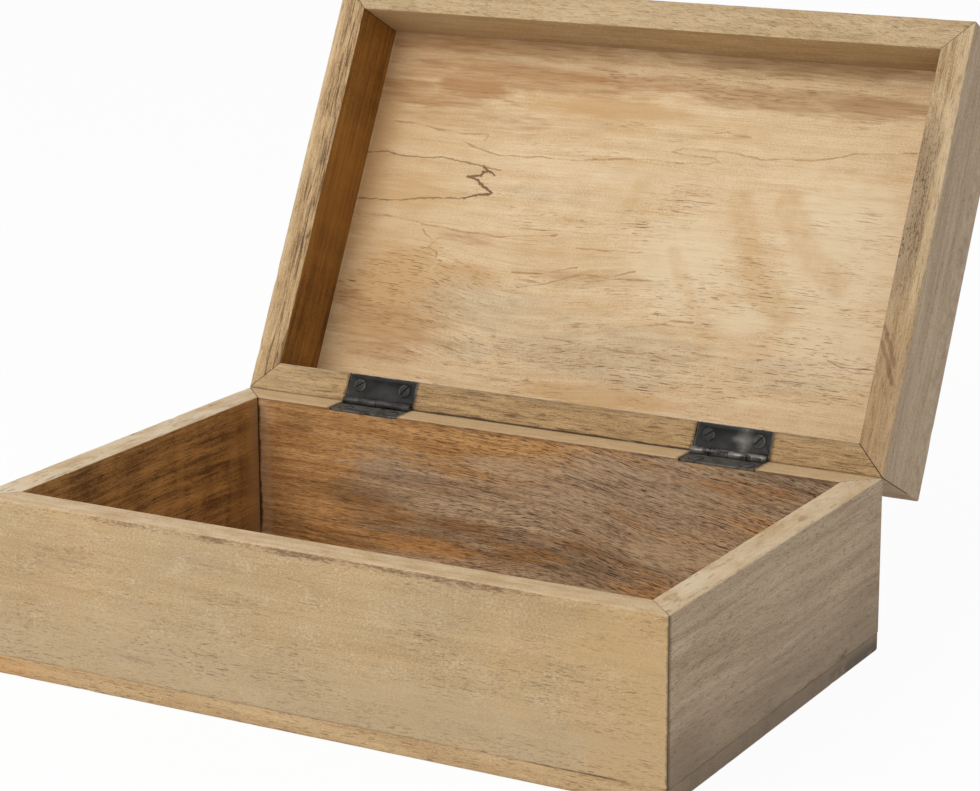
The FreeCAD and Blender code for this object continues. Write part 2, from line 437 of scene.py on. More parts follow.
class Grain:
    """The wires of one board's wood, in the board's own millimetres.

    Sway and ripple say how far the grain wanders; slope bends it towards one end and eddy round a knot.
    Lengths and widths of a pattern are in millimetres, levels of noise run from -0.5 to 0.5,
    and masks and strengths from 0 to 1.
    """

    def __init__(self, name, place, run, sway=4.0, ripple=1.4, slope=0.0, eddy=0.0):
        self.material, self.sheet, self.shader = new_material(name)
        self.point = board_point(self.sheet, place)
        self.along, self.depth, self.across = parts_of(self.point)
        self.half = run / MM / 2
        self.log = moved(self.point, CUTS[name])
        lean = cloud(self.log, SWAY_WAVE) * sway + cloud(self.log, RIPPLE_WAVE) * ripple
        if slope:
            lean = lean - self.along * rise(self.along, SLOPE_START, SLOPE_END) * slope
        if eddy:
            beside = rise(abs(self.along - EDDY_ALONG), EDDY_LENGTH, EDDY_CORE)
            lean = lean - beside * rise(abs(self.across - EDDY_ACROSS), EDDY_WIDTH, EDDY_CORE) * eddy
        shift = lean.add("ShaderNodeCombineXYZ", None, {"Y": lean * LEAN_THROUGH, "Z": lean})
        self.bent = moved(self.log, shift)
        self.fibre = self.streaks(*FIBRE)
        self.grit = self.patches(*GRIT)
        self.ragged = self.streaks(*RAGGED)
        self.torn = self.streaks(*TORN)

    def streaks(self, long, wide, detail=5.0):
        """Streaks that follow the grain."""
        return cloud(self.bent, (long, wide, wide), detail, STREAK_ROUGHNESS)

    def tone(self, level, long, wide, streaks, fibre, grit):
        """Light and dark grain about a level, from the shares of streaks, fibre and grit."""
        return level + self.streaks(long, wide) * streaks + self.fibre * fibre + self.grit * grit

    def wisps(self, long, wide, low, high):
        """Ragged wisps along the grain, from none at low to full at high."""
        lengths = (long, wide, wide)
        return rise(cloud(self.bent, lengths, WISP_DETAIL, WISP_ROUGHNESS, WISP_CURL), low, high)

    def patches(self, long, wide, detail=3.0):
        """Patches that take no notice of the grain."""
        return cloud(self.log, (long, wide, wide), detail, PATCH_ROUGHNESS)

    def fade(self, place, low, high, stray, long, wide, detail=3.0):
        """A step from none at low to full at high, straying to and fro in patches."""
        return rise(place + self.patches(long, wide, detail) * stray, low, high)

    def tear(self, place, low, high, stray):
        """A step from none at low to full at high, torn along the grain."""
        return rise(place + self.ragged * stray, low, high)

    def flecks(self, long, wide, edge):
        """Short open pores along the grain; a higher edge leaves fewer."""
        return rise(cloud(self.bent, (long, wide, wide), FLECK_DETAIL), edge, edge + FLECK_EDGE)

    def rings(self, long, wide, count):
        """Growth lines that close in long arches."""
        height = cloud(self.bent, (long, wide, wide), FLECK_DETAIL)
        return rise(self.sheet.maths("SINE", height * (count * math.tau)), 0.0, 1.0)

    def spot(self, along, across, long, wide, strength):
        """A soft window over a place on the board's face."""
        beside = (self.along - along) * (1 / long)
        over = (self.across - across) * (1 / wide)
        reach = self.sheet.maths("SQRT", beside * beside + over * over) + self.ragged * SPOT_RAG
        return rise(reach, SPOT_END, SPOT_FULL) * strength

    def spots(self, places, bite=1.5):
        """Patches of the figure, torn along the grain."""
        strongest = functools.reduce(Wire.above, [self.spot(*place) for place in places])
        return rise(strongest + self.torn * bite, *SPOT_LEVELS) * rise(strongest, 0.0, SPOT_FLOOR)

    def shaken(self, size, reach):
        """The board's point, shifted to and fro so that a line drawn on it wanders."""
        sideways = self.patches(size, size) * reach
        over = cloud(self.point, (size, size, size), 3.0) * reach
        shift = self.sheet.add("ShaderNodeCombineXYZ", None, {"X": over * SHAKE_ALONG, "Z": sideways})
        return moved(self.point, shift)

    def tilt(self, share):
        """A shift through the board that leans a pattern on the rim, as a vector."""
        return self.along.add("ShaderNodeCombineXYZ", None, {"Y": self.along * share})

    def mitre(self, width, first, last):
        """The joint with the neighbours, of uneven width, as dark as said at the board's two ends."""
        uneven = width + cloud(self.log, MITRE_WAVE) * width
        line = rise(abs(self.half - abs(self.along) - self.depth), uneven, uneven * MITRE_CORE)
        return line * (first + rise(self.along, -1.0, 1.0) * (last - first))

    def faces(self, outer, rim, inner, height):
        """The colours of a rim board's outside, sawn rim and inside, joined at the arrises."""
        middle = board_thickness / MM / 2
        on_inside = rise(self.depth, middle, middle + INSIDE_START)
        on_rim = rise(self.across, height - RIM_START, height - RIM_FULL)
        return mix(on_rim, mix(on_inside, outer, inner), rim)

    def from_edge(self):
        """How far a place on a flat board is from the nearest edge."""
        return (self.half - abs(self.along)).below(box_depth / MM / 2 - abs(self.across))

    def on_end(self):
        """The sawn ends of a flat board."""
        return rise(abs(self.along), self.half - END_START, self.half - END_FULL)

    def finish(self, colour, pores):
        """Feed the shader and return the material."""
        self.shader.inputs["Specular IOR Level"].default_value = WOOD_SPECULAR
        link(self.sheet, colour, self.shader, "Base Color")
        roughness = WOOD_ROUGHNESS + self.fibre * FIBRE_ROUGHNESS + pores * PORE_ROUGHNESS
        link(self.sheet, roughness, self.shader, "Roughness")
        relief = self.fibre * FIBRE_RELIEF + self.grit * GRIT_RELIEF - pores * PORE_RELIEF
        sockets = {"Strength": WOOD_BUMP, "Distance": WOOD_RELIEF, "Height": relief}
        link(self.sheet, self.sheet.add("ShaderNodeBump", None, sockets), self.shader, "Normal")
        return self.material


def link(sheet, wire, node, socket):
    """Feed a shader's socket."""
    sheet.tree.links.new(wire.socket, node.inputs[socket])


def new_material(name):
    """An empty material, a wire to build on and its surface shader."""
    material = bpy.data.materials.new(name)
    material.use_nodes = True
    tree = material.node_tree
    return material, Wire(tree), tree.nodes["Principled BSDF"]


def palette():
    """The colours that the user has set."""
    return bpy.context.scene.keepsake_colours


# The woods: places in millimetres, tones from dark 0 to light 1, layers by their mask and strength
def sawn_rim(grain, bleach=0.0):
    """Pale sawn rim of a box wall, bleached by a share."""
    tones = palette()
    tone = grain.tone(level=0.55, long=30.0, wide=2.6, streaks=2.0, fibre=1.2, grit=1.7)
    colour = mix(tone + grain.patches(10.0, 6.0) * 1.6, tones.rim_deep, tones.rim_pale)
    colour = mix(rise(grain.patches(30.0, 12.0), -0.2, 0.2) * bleach, colour, tones.bleached)
    colour = lay(colour, tones.rail_deep, rise(grain.patches(9.0, 3.0, 4.0), 0.03, 0.2) * bleach, 0.7)
    dust = grain.flecks(*RIM_DUST) * rise(grain.patches(26.0, 8.0), -0.08, 0.12)
    return lay(colour, tones.pore, dust, 0.5)


def sanded_face(grain):
    """Soft sanded outside of the front and back walls."""
    tones = palette()
    tone = grain.tone(level=0.5, long=60.0, wide=2.6, streaks=1.0, fibre=0.8, grit=2.0)
    colour = mix(tone + grain.patches(40.0, 18.0, 4.0) * 0.8, tones.front_deep, tones.front_pale)
    hue = grain.patches(60.0, 24.0, 4.0)
    colour = lay(colour, tones.front_warm, rise(hue, 0.0, 0.25), 0.42)
    colour = lay(colour, tones.front_grey, rise(hue, 0.0, -0.25), 0.42)
    sand = grain.patches(1.6, 0.8, 2.0) + grain.patches(14.0, 8.0) * 0.9
    return lay(colour, tones.bleached, rise(sand, 0.06, 0.26), 0.3)


def figured_face(grain, pores):
    """Outside of the lid and the back wall: sanded, with brown heartwood, growth lines and open pores."""
    tones = palette()
    colour = sanded_face(grain)
    heart = rise(grain.streaks(150.0, 22.0, 4.0) + grain.torn * 0.3, 0.0, 0.2)
    colour = lay(colour, tones.rail_deep, heart, 0.4)
    colour = lay(colour, tones.rail_deep, grain.rings(300.0, 46.0, 22.0), 0.2)
    colour = mix(grain.wisps(26.0, 1.2, 0.05, 0.24) * (0.2 + heart * 0.4), colour, tones.panel_dark)
    return lay(colour, tones.pore, pores, 0.55)


def side_face(grain):
    """Streaked outside of the side walls and side rails."""
    tones = palette()
    tone = grain.tone(level=0.38, long=80.0, wide=6.0, streaks=1.3, fibre=0.6, grit=1.4)
    return mix(tone + grain.wisps(40.0, 3.0, -0.2, 0.2) * 0.28, tones.side_deep, tones.side_pale)


def shaded_face(grain, deep, pale):
    """Dark streaked inside of a side wall or rail: darker wood with painted shade."""
    tone = grain.tone(level=0.5, long=50.0, wide=2.6, streaks=2.4, fibre=1.6, grit=1.0)
    tone = tone + grain.patches(14.0, 60.0) * 1.2 + grain.streaks(34.0, 9.0) * 1.6
    return mix(tone, deep, pale)


def front_wall_wood(place, run):
    """Front wall: soft tan with fine flecks and a dirty top arris."""
    grain = Grain("front wall wood", place, run, sway=3.0, ripple=1.0)
    tones = palette()
    height = wall_height / MM
    outer = sanded_face(grain)
    outer = lay(outer, tones.front_grey, grain.fade(grain.across, 34.0, 6.0, 40.0, 50.0, 20.0), 0.5)
    outer = lay(outer, tones.smudge, grain.spots(SMUDGES), 0.8)
    outer = lay(outer, tones.front_warm, grain.fade(grain.along, 100.0, 138.0, 50.0, 30.0, 20.0), 0.45)
    crowd = rise(grain.patches(50.0, 14.0) - grain.across * 0.002, -0.25, 0.1)
    fine = grain.flecks(*FRONT_FINE) * crowd
    bold = grain.flecks(*FRONT_BOLD) * crowd
    outer = lay(outer, tones.pore, fine, 0.42)
    outer = lay(outer, tones.pore, bold, 0.5)
    reach = rise(grain.along, -100.0, -70.0) * rise(grain.along, 150.0, 40.0)
    drift = grain.patches(22.0, 9.0) * 0.9 + reach * 0.3
    drift = drift + rise(grain.across, height - 4.4, height - 0.9) * 0.4
    grime = rise(grain.patches(2.2, 0.6, 4.0) * 1.1 + drift, 0.4, 0.82)
    outer = lay(outer, tones.grime, grime * rise(grain.across, height - 5.0, height - 2.2), 0.8)
    seam = rise(grain.across, 0.9, 0.3) * (0.26 + rise(grain.along, 90.0, 100.0) * 0.54)
    outer = mix(seam * rise(grain.patches(16.0, 9.0), -0.2, 0.05), outer, tones.stain_and_shade)
    arris = grain.fade(grain.along, grain.half - 1.3, grain.half - 0.4, 1.8, 6.0, 2.2, 4.0)
    outer = lay(outer, tones.stain_and_shade, arris, 0.55)
    inner = mix(0.4 + grain.streaks(60.0, 3.0) * 1.4, sanded_face(grain), tones.back_deep)
    inner = lay(inner, tones.back_pore, grain.flecks(*FRONT_INSIDE), 0.6)
    colour = grain.faces(outer, sawn_rim(grain), inner, height)
    colour = mix(grain.mitre(*FRONT_MITRE), colour, tones.grime)
    return grain.finish(colour, fine.above(bold))


def hinge_side(along):
    """How far a place along the pins is from the middle of the nearer hinge, in millimetres."""
    return abs(abs(along) - bpy.context.scene.keepsake_hinges.spacing / MM / 2)


def torn_and_shaded_mortise(grain):
    """Dirty torn fibres and painted shadow at the two ends of a mortise."""
    return grain.fade(hinge_side(grain.along), 18.8, 17.2, 3.0, 3.0, 2.0, 4.0)


def gap_shadow(grain, side, long):
    """Painted shadow where box and lid nearly meet, darkest between the hinges; side says which way the
    board runs.
    """
    between = rise(grain.along, side * 80.0, side * 50.0) * rise(grain.along, side * -78.0, side * -66.0)
    return grain.fade(grain.depth, 1.3, 0.5, 1.2, long, 4.0) * (0.3 + between * 0.6)


def back_wall_wood(place, run):
    """Back wall: red brown inside, crowded with dark pores, with a smoky figure."""
    grain = Grain("back wall wood", place, run, sway=7.0, ripple=2.0, slope=0.17)
    tones = palette()
    height = wall_height / MM
    tone = grain.tone(level=0.5, long=70.0, wide=2.2, streaks=2.0, fibre=1.6, grit=0.7)
    inner = mix(tone, tones.back_deep, tones.back_pale)
    top = grain.across - rise(grain.along, 30.0, -70.0) * 24.0 + grain.ragged * 34.0
    smoke = rise(top, 54.0, 38.0) * grain.tear(grain.along, 104.0, 70.0, 50.0)
    smoke = smoke * rise(grain.streaks(60.0, 7.0), -0.3, 0.05)
    inner = lay(inner, mix(tone, tones.smoke_deep, tones.smoke_pale), smoke, 0.95)
    pale = grain.spots(BACK_PALES)
    inner = lay(inner, tones.smoke_pale, pale, 0.62)
    inner = lay(inner, tones.back_deep, grain.spots(BACK_BROWNS), 0.8)
    inner = lay(inner, tones.back_glow, grain.spots(GLOWS), 0.75)
    inner = lay(inner, tones.back_pore, grain.spots(BACK_SHADES), 0.36)
    low = grain.tear(grain.across, 26.0, 4.0, 30.0)
    dark = grain.wisps(22.0, 1.1, 0.03, 0.2) + low * grain.wisps(30.0, 2.0, -0.08, 0.16) * 0.8
    inner = lay(inner, tones.back_pore, dark, 0.42)
    fine = grain.flecks(*BACK_FINE)
    bold = grain.flecks(*BACK_BOLD)
    calm = rise(grain.along, 0.0, 70.0).above(pale)
    inner = mix(fine * (0.58 - calm * 0.22), inner, tones.back_pore)
    inner = mix(bold * (0.78 - calm * 0.3), inner, tones.back_pore)
    wedge = grain.tear(grain.across, height - 9.0, height - 1.5, 12.0) * rise(grain.along, -64.0, -104.0)
    inner = lay(inner, tones.stain_and_shade, wedge, 0.3)
    corner = grain.half - board_thickness / MM
    inner = lay(inner, tones.smoke_pale, grain.tear(grain.along, corner - 8.0, corner - 4.0, 8.0), 0.3)
    gap = grain.fade(grain.along, corner - 1.6, corner - 0.3, 3.4, 9.0, 5.0)
    inner = lay(inner, tones.stain_and_shade, gap, 0.92)
    lip = grain.fade(grain.across, height - 2.2, height - 0.8, 3.0, 9.0, 3.0)
    inner = lay(inner, tones.grime, lip, 0.5)
    rim = mix(0.4 + grain.patches(24.0, 8.0) * 0.8, sawn_rim(grain, 0.12), tones.rail_tan)
    # Painted shadow of the gap between lid and box along the rim's outer arris.
    rim = mix(gap_shadow(grain, 1, 12.0), rim, tones.stain_and_shade)
    # Torn fibres and painted shadow at the ends of the mortises.
    rim = lay(rim, tones.stain_and_shade, torn_and_shaded_mortise(grain), 0.6)
    under = rise(grain.across, height - 2.8, height - 1.6) * rise(hinge_side(grain.along), 17.4, 16.4)
    inner = lay(inner, tones.rail_pale, under * rise(grain.patches(7.0, 3.0), -0.15, 0.1), 0.6)
    outer = figured_face(grain, fine.above(bold) * rise(grain.patches(40.0, 14.0), -0.1, 0.2))
    colour = grain.faces(outer, rim, inner, height)
    colour = mix(grain.mitre(*BACK_MITRE), colour, tones.stain_and_shade)
    return grain.finish(colour, fine.above(bold))


def left_wall_wood(place, run):
    """Left wall: dark and streaked inside."""
    grain = Grain("left wall wood", place, run, sway=6.0, ripple=2.0)
    tones = palette()
    height = wall_height / MM
    fine = grain.flecks(*LEFT_FINE)
    inner = lay(shaded_face(grain, tones.left_deep, tones.left_pale), tones.pore, fine, 0.5)
    inner = lay(inner, tones.left_pale, rise(grain.along, -64.0, -82.0), 0.6)
    bars = rise(abs(grain.along + 63.7), 5.0, 2.0).above(rise(abs(grain.along + 23.5), 4.0, 1.5))
    inner = lay(inner, tones.left_pale, bars, 0.22)
    corner = board_thickness / MM - grain.half
    inner = lay(inner, tones.side_deep, grain.tear(grain.along, corner + 8.0, corner + 4.0, 6.0), 0.35)
    outer = lay(side_face(grain), tones.pore, fine, 0.3)
    colour = grain.faces(outer, sawn_rim(grain, 0.95), inner, height)
    colour = mix(grain.mitre(*LEFT_MITRE), colour, tones.stain_and_shade)
    return grain.finish(colour, fine)


def right_wall_wood(place, run):
    """Right wall: grey brown and streaked outside, stained along its foot."""
    grain = Grain("right wall wood", place, run, sway=6.0, ripple=2.0)
    tones = palette()
    height = wall_height / MM
    fine = grain.flecks(*RIGHT_FINE)
    outer = lay(side_face(grain), tones.pore, fine, 0.42)
    low = grain.fade(grain.across, 38.0, 2.0, 24.0, 40.0, 30.0)
    outer = mix(low * (0.44 + rise(grain.along, -40.0, -84.0) * 0.32), outer, tones.side_low)
    damp = grain.patches(16.0, 6.0, 4.0) + rise(grain.across, 12.0, -2.0) * 0.3 - 0.24
    damp = rise(damp, 0.0, 0.25) * rise(grain.along, -60.0, 60.0)
    outer = lay(outer, tones.stain_and_shade, damp, 0.75)
    arris = grain.fade(grain.along, 2.2 - grain.half, 0.8 - grain.half, 2.0, 6.0, 2.2, 4.0)
    outer = lay(outer, tones.stain_and_shade, arris, 0.5)
    inner = shaded_face(grain, tones.left_deep, tones.left_pale)
    colour = grain.faces(outer, sawn_rim(grain, 0.75), inner, height)
    colour = mix(grain.mitre(*RIGHT_MITRE), colour, tones.grime)
    return grain.finish(colour, fine)


def base_wood(place, run):
    """Base board: a little warmer than the walls, worn and stained along its lower edges."""
    grain = Grain("base wood", place, run)
    tones = palette()
    tone = grain.tone(level=0.5, long=50.0, wide=3.0, streaks=1.6, fibre=0.8, grit=1.4)
    colour = mix(tone, tones.base_deep, tones.base_pale)
    warm = grain.fade(grain.along, -95.0, -140.0, 60.0, 30.0, 30.0)
    colour = lay(colour, tones.back_glow, warm, 0.35)
    on_side = grain.on_end()
    sawn = 0.16 + grain.patches(9.0, 9.0, 5.0) * 0.5 + grain.grit * 0.7
    colour = mix(on_side, colour, mix(sawn, tones.side_low, tones.side_pale))
    fine = grain.flecks(*BASE_FINE) * (1.0 - on_side * 0.8)
    colour = lay(colour, tones.pore, fine, 0.45)
    grime = rise(grain.patches(7.0, 3.0, 4.0), 0.04, 0.25) * rise(grain.depth, 3.5, 0.5)
    grime = grime * rise(grain.from_edge(), 18.0, 3.0)
    colour = lay(colour, tones.stain_and_shade, grime, 0.55)
    damp = rise(grain.patches(9.0, 9.0, 4.0) + rise(grain.across, -30.0, -80.0) * 0.3, 0.08, 0.3)
    damp = damp * rise(grain.along, grain.half - 0.9, grain.half - 0.3) * rise(grain.depth, 8.5, 3.0)
    colour = lay(colour, tones.stain_and_shade, damp, 0.7)
    return grain.finish(colour, fine)


def rail_wood(grain, face, rim, inner, mitre):
    """A lid rail from its outside, sawn rim and inside, and its mitres."""
    tones = palette()
    fine = grain.flecks(*RAIL_FINE)
    outer = lay(face(grain), tones.pore, fine, RAIL_PORES)
    rim = lay(rim, tones.pore, fine, RAIL_PORES)
    colour = grain.faces(outer, rim, inner, rail_height / MM)
    colour = mix(grain.mitre(*mitre), colour, tones.stain_and_shade)
    return grain.finish(colour, fine)


def rail_rim(grain, deep, pale):
    """Streaked sawn rim of a lid rail."""
    tone = grain.tone(level=0.55, long=38.0, wide=3.0, streaks=1.9, fibre=1.2, grit=1.3)
    return mix(tone + grain.patches(14.0, 6.0) * 0.9, deep, pale)


def front_rail_wood(place, run):
    """Front rail of the lid: pale with slanting flecks, and tan inside."""
    grain = Grain("lid front rail wood", place, run)
    tones = palette()
    rim = rail_rim(grain, tones.rail_grey, tones.rail_light)
    slant = cloud(moved(grain.log, grain.tilt(0.35)), (6.0, 0.8, 0.8), 2.0)
    rim = lay(rim, tones.rail_deep, rise(slant, 0.06, 0.18), 0.5)
    rim = lay(rim, tones.rail_light, grain.fade(abs(grain.along), 70.0, 10.0, 60.0, 30.0, 12.0), 0.3)
    inner = mix(0.1 + grain.wisps(40.0, 3.0, -0.1, 0.2) * 0.42, sanded_face(grain), tones.rail_deep)
    inner = lay(inner, tones.rail_light, rise(grain.along, 60.0, 120.0), 0.34)
    return rail_wood(grain, sanded_face, rim, inner, FRONT_RAIL_MITRE)


def back_rail_wood(place, run):
    """Back rail of the lid: brown tan, dirty where it meets the box."""
    grain = Grain("lid back rail wood", place, run)
    tones = palette()
    rim = rail_rim(grain, tones.rail_deep, tones.rail_tan)
    rim = lay(rim, tones.pore, grain.wisps(14.0, 0.9, 0.01, 0.18), 0.8)
    # Torn fibres and painted shadow at the ends of the mortises.
    rim = lay(rim, tones.stain_and_shade, torn_and_shaded_mortise(grain), 0.75)
    # Painted shadow of the gap between lid and box along the rim's outer arris.
    rim = mix(gap_shadow(grain, -1, 10.0), rim, tones.stain_and_shade)
    edge = grain.fade(grain.depth, 10.6, 12.4, 5.0, 12.0, 5.0)
    rim = lay(rim, tones.smudge, edge, 0.5)
    rim = lay(rim, tones.rail_light, grain.fade(grain.along, -96.0, -130.0, 40.0, 20.0, 8.0), 0.3)
    inner = shaded_face(grain, tones.dark_deep, tones.dark_pale)
    return rail_wood(grain, sanded_face, rim, inner, BACK_RAIL_MITRE)


def left_rail_wood(place, run):
    """Left rail of the lid: tan with dark streaks, paler along its outer edge, dark inside."""
    grain = Grain("lid left rail wood", place, run)
    tones = palette()
    rim = rail_rim(grain, tones.rail_deep, tones.rail_pale)
    streak = grain.wisps(14.0, 1.0, -0.04, 0.12) * grain.fade(grain.depth, 2.0, 7.0, 9.0, 30.0, 8.0)
    rim = lay(rim, tones.pore, streak, 0.88)
    rim = lay(rim, tones.rim_pale, grain.fade(grain.depth, 4.0, 1.0, 6.0, 30.0, 8.0), 0.5)
    inner = shaded_face(grain, tones.dark_deep, tones.dark_pale)
    inner = lay(inner, tones.dark_pale, grain.tear(abs(grain.along), 54.0, 4.0, 30.0), 0.45)
    return rail_wood(grain, side_face, rim, inner, LEFT_RAIL_MITRE)


def right_rail_wood(place, run):
    """Right rail of the lid: tan, with black specks along its inner edge and a pale outer one."""
    grain = Grain("lid right rail wood", place, run)
    tones = palette()
    rim = rail_rim(grain, tones.rail_deep, tones.rail_light)
    rim = lay(rim, tones.rail_deep, grain.fade(grain.along, 0.0, -40.0, 40.0, 30.0, 20.0), 0.45)
    edge = rise(grain.depth + grain.patches(26.0, 8.0) * 9.0 + grain.torn * 4.0, 4.6, 2.4)
    rim = mix(edge * (0.15 + rise(grain.along, -30.0, 30.0) * 0.4), rim, tones.rim_pale)
    dull = rise(abs(grain.along - 14.0), 48.0, 22.0) * grain.fade(grain.depth, 3.5, 7.5, 6.0, 20.0, 6.0)
    rim = lay(rim, tones.smudge, dull, 0.6)
    specks = rise(grain.patches(1.7, 0.6, 4.0) + grain.patches(16.0, 6.0) * 0.5, 0.02, 0.16)
    rim = lay(rim, tones.pore, dull * specks, 0.75)
    shaken = grain.shaken(4.0, 3.0)
    smear = functools.reduce(Wire.below, [stroke(shaken, knots, "Y") for knots in SMEARS])
    rim = lay(rim, tones.pore, rise(smear, 1.5, 0.3), 0.45)
    inner = shaded_face(grain, tones.dark_deep, tones.dark_pale)
    return rail_wood(grain, side_face, rim, inner, RIGHT_RAIL_MITRE)


# The share of a drawn line's width that is full
STROKE_CORE = 0.3


def stroke(point, knots, side="Z"):
    """The distance from a drawn line, in millimetres along and across, or along and through the board."""
    gaps = []
    flat = (1.0, 1.0, 0.0) if side == "Y" else (1.0, 0.0, 1.0)
    point = point.vector("MULTIPLY", point, flat)
    for here, there in zip(knots, knots[1:]):
        start = Vector((here[0], here[1] * flat[1], here[1] * flat[2]))
        edge = Vector((there[0], there[1] * flat[1], there[1] * flat[2])) - start
        away = point.vector("SUBTRACT", point, start)
        share = away.vector("DOT_PRODUCT", away, edge / edge.length_squared, "Value")
        foot = share.vector("SCALE", edge, share.add("ShaderNodeClamp", None, {0: share}))
        gaps.append(away.vector("DISTANCE", away, foot, "Value"))
    return functools.reduce(Wire.below, gaps)


def strokes(point, lines, width):
    """The share covered by several drawn lines."""
    nearest = functools.reduce(Wire.below, [stroke(point, knots) for knots in lines])
    return rise(nearest, width, width * STROKE_CORE)


# Patches of the figure: along, across, half length and half width in millimetres, strength
SMUDGES = [
    (-78.0, 11.0, 15.0, 5.0, 0.32),
    (48.0, 38.0, 26.0, 8.0, 0.25),
    (-112.0, 44.0, 22.0, 8.0, 0.25),
]
GLOWS = [
    (58.0, 9.0, 40.0, 7.0, 0.6),
    (4.0, 13.0, 24.0, 5.0, 0.6),
    (-62.0, 5.0, 34.0, 5.0, 0.36),
    (-92.0, 40.0, 20.0, 6.0, 0.22),
]
BACK_BROWNS = [
    (80.0, 20.0, 28.0, 9.0, 0.6),
    (33.0, 20.0, 26.0, 6.0, 0.5),
    (-15.0, 20.0, 30.0, 5.0, 0.4),
    (-96.0, 55.0, 32.0, 6.0, 0.5),
    (-58.0, 58.0, 28.0, 4.0, 0.3),
    (120.0, 49.0, 16.0, 9.0, 0.5),
]
BACK_PALES = [
    (-15.0, 40.0, 28.0, 8.0, 0.6),
    (10.0, 49.0, 30.0, 6.0, 0.9),
    (-42.0, 54.0, 44.0, 6.0, 0.6),
    (-76.0, 50.0, 24.0, 8.0, 0.5),
    (-60.0, 21.0, 26.0, 8.0, 0.7),
    (-100.0, 24.0, 20.0, 8.0, 0.4),
]
BACK_SHADES = [
    (84.0, 28.0, 34.0, 7.0, 0.8),
    (50.0, 17.0, 44.0, 8.0, 0.64),
    (-14.0, 14.0, 54.0, 8.0, 0.75),
    (115.0, 56.0, 16.0, 6.0, 0.5),
]
BROWN_PATCHES = [
    (-74.0, -80.0, 96.0, 9.0, 0.66),
    (66.0, -82.0, 96.0, 9.0, 0.66),
    (-120.0, -58.0, 22.0, 5.0, 0.7),
    (2.0, -68.0, 34.0, 6.0, 0.55),
    (-72.0, -66.0, 100.0, 10.0, 0.62),
    (-92.0, -59.0, 30.0, 7.0, 0.85),
    (-48.0, -67.5, 32.0, 3.6, 0.9),
    (76.0, -65.0, 90.0, 8.0, 0.6),
    (100.0, -65.0, 40.0, 5.0, 0.85),
    (-113.0, -52.0, 40.0, 6.0, 0.6),
    (-90.0, -46.0, 50.0, 9.0, 0.4),
    (-63.0, -43.5, 24.0, 6.0, 0.4),
    (43.0, -47.6, 8.0, 1.4, 0.5),
    (-106.0, 56.0, 46.0, 16.0, 0.48),
    (-108.0, 66.0, 28.0, 7.0, 0.45),
    (-128.0, 44.0, 13.0, 7.0, 0.6),
    (-74.0, 10.0, 20.0, 4.0, 0.5),
    (-10.0, 22.0, 44.0, 5.0, 0.4),
]
TAN_PATCHES = [
    # The first patch, by the left rail, is browner wood with painted shade over it.
    (-140.0, -20.0, 22.0, 64.0, 0.7),
    (-106.0, 40.0, 36.0, 30.0, 0.8),
    (-29.0, -47.0, 40.0, 7.0, 0.5),
    (44.0, -50.0, 50.0, 6.0, 0.4),
    (2.0, -26.0, 26.0, 8.0, 0.35),
    (70.0, 42.0, 30.0, 5.0, 0.3),
    (-40.0, 12.0, 60.0, 9.0, 0.45),
    (-24.0, -55.0, 52.0, 6.0, 0.8),
    (4.0, 73.0, 44.0, 6.0, 0.85),
    (-75.0, 28.0, 28.0, 8.0, 0.8),
    (-106.0, -8.0, 24.0, 12.0, 0.5),
]
GREY_PATCHES = [
    (0.0, 54.0, 70.0, 18.0, 0.75),
    (-68.0, 60.0, 26.0, 8.0, 0.7),
    (-62.0, 40.0, 44.0, 16.0, 0.7),
    (86.0, 54.0, 44.0, 10.0, 0.52),
    (-30.0, -46.0, 24.0, 5.0, 0.4),
    (-40.0, -14.0, 40.0, 6.0, 0.5),
]
PALE_PATCHES = [
    (-78.0, -74.8, 28.0, 2.6, 0.7),
    (-117.0, -69.8, 14.0, 2.6, 0.7),
    (22.0, -54.0, 66.0, 6.0, 0.3),
    (-20.0, -26.0, 80.0, 6.0, 0.4),
    (100.0, 0.0, 40.0, 46.0, 0.65),
    (30.0, 12.0, 34.0, 34.0, 0.6),
    (104.0, 40.0, 36.0, 26.0, 0.56),
    (62.0, 32.0, 20.0, 10.0, 0.6),
]
DASH_PATCHES = [
    (-104.0, 36.0, 36.0, 22.0, 0.9),
    (-80.0, 28.0, 26.0, 8.0, 0.8),
    (-50.0, 59.0, 34.0, 9.0, 0.9),
    (20.0, 58.0, 70.0, 12.0, 0.8),
    (104.0, 52.0, 36.0, 12.0, 0.8),
    (40.0, -70.0, 90.0, 9.0, 0.6),
    (-20.0, -4.0, 50.0, 10.0, 0.5),
    (60.0, 16.0, 50.0, 22.0, 0.35),
]

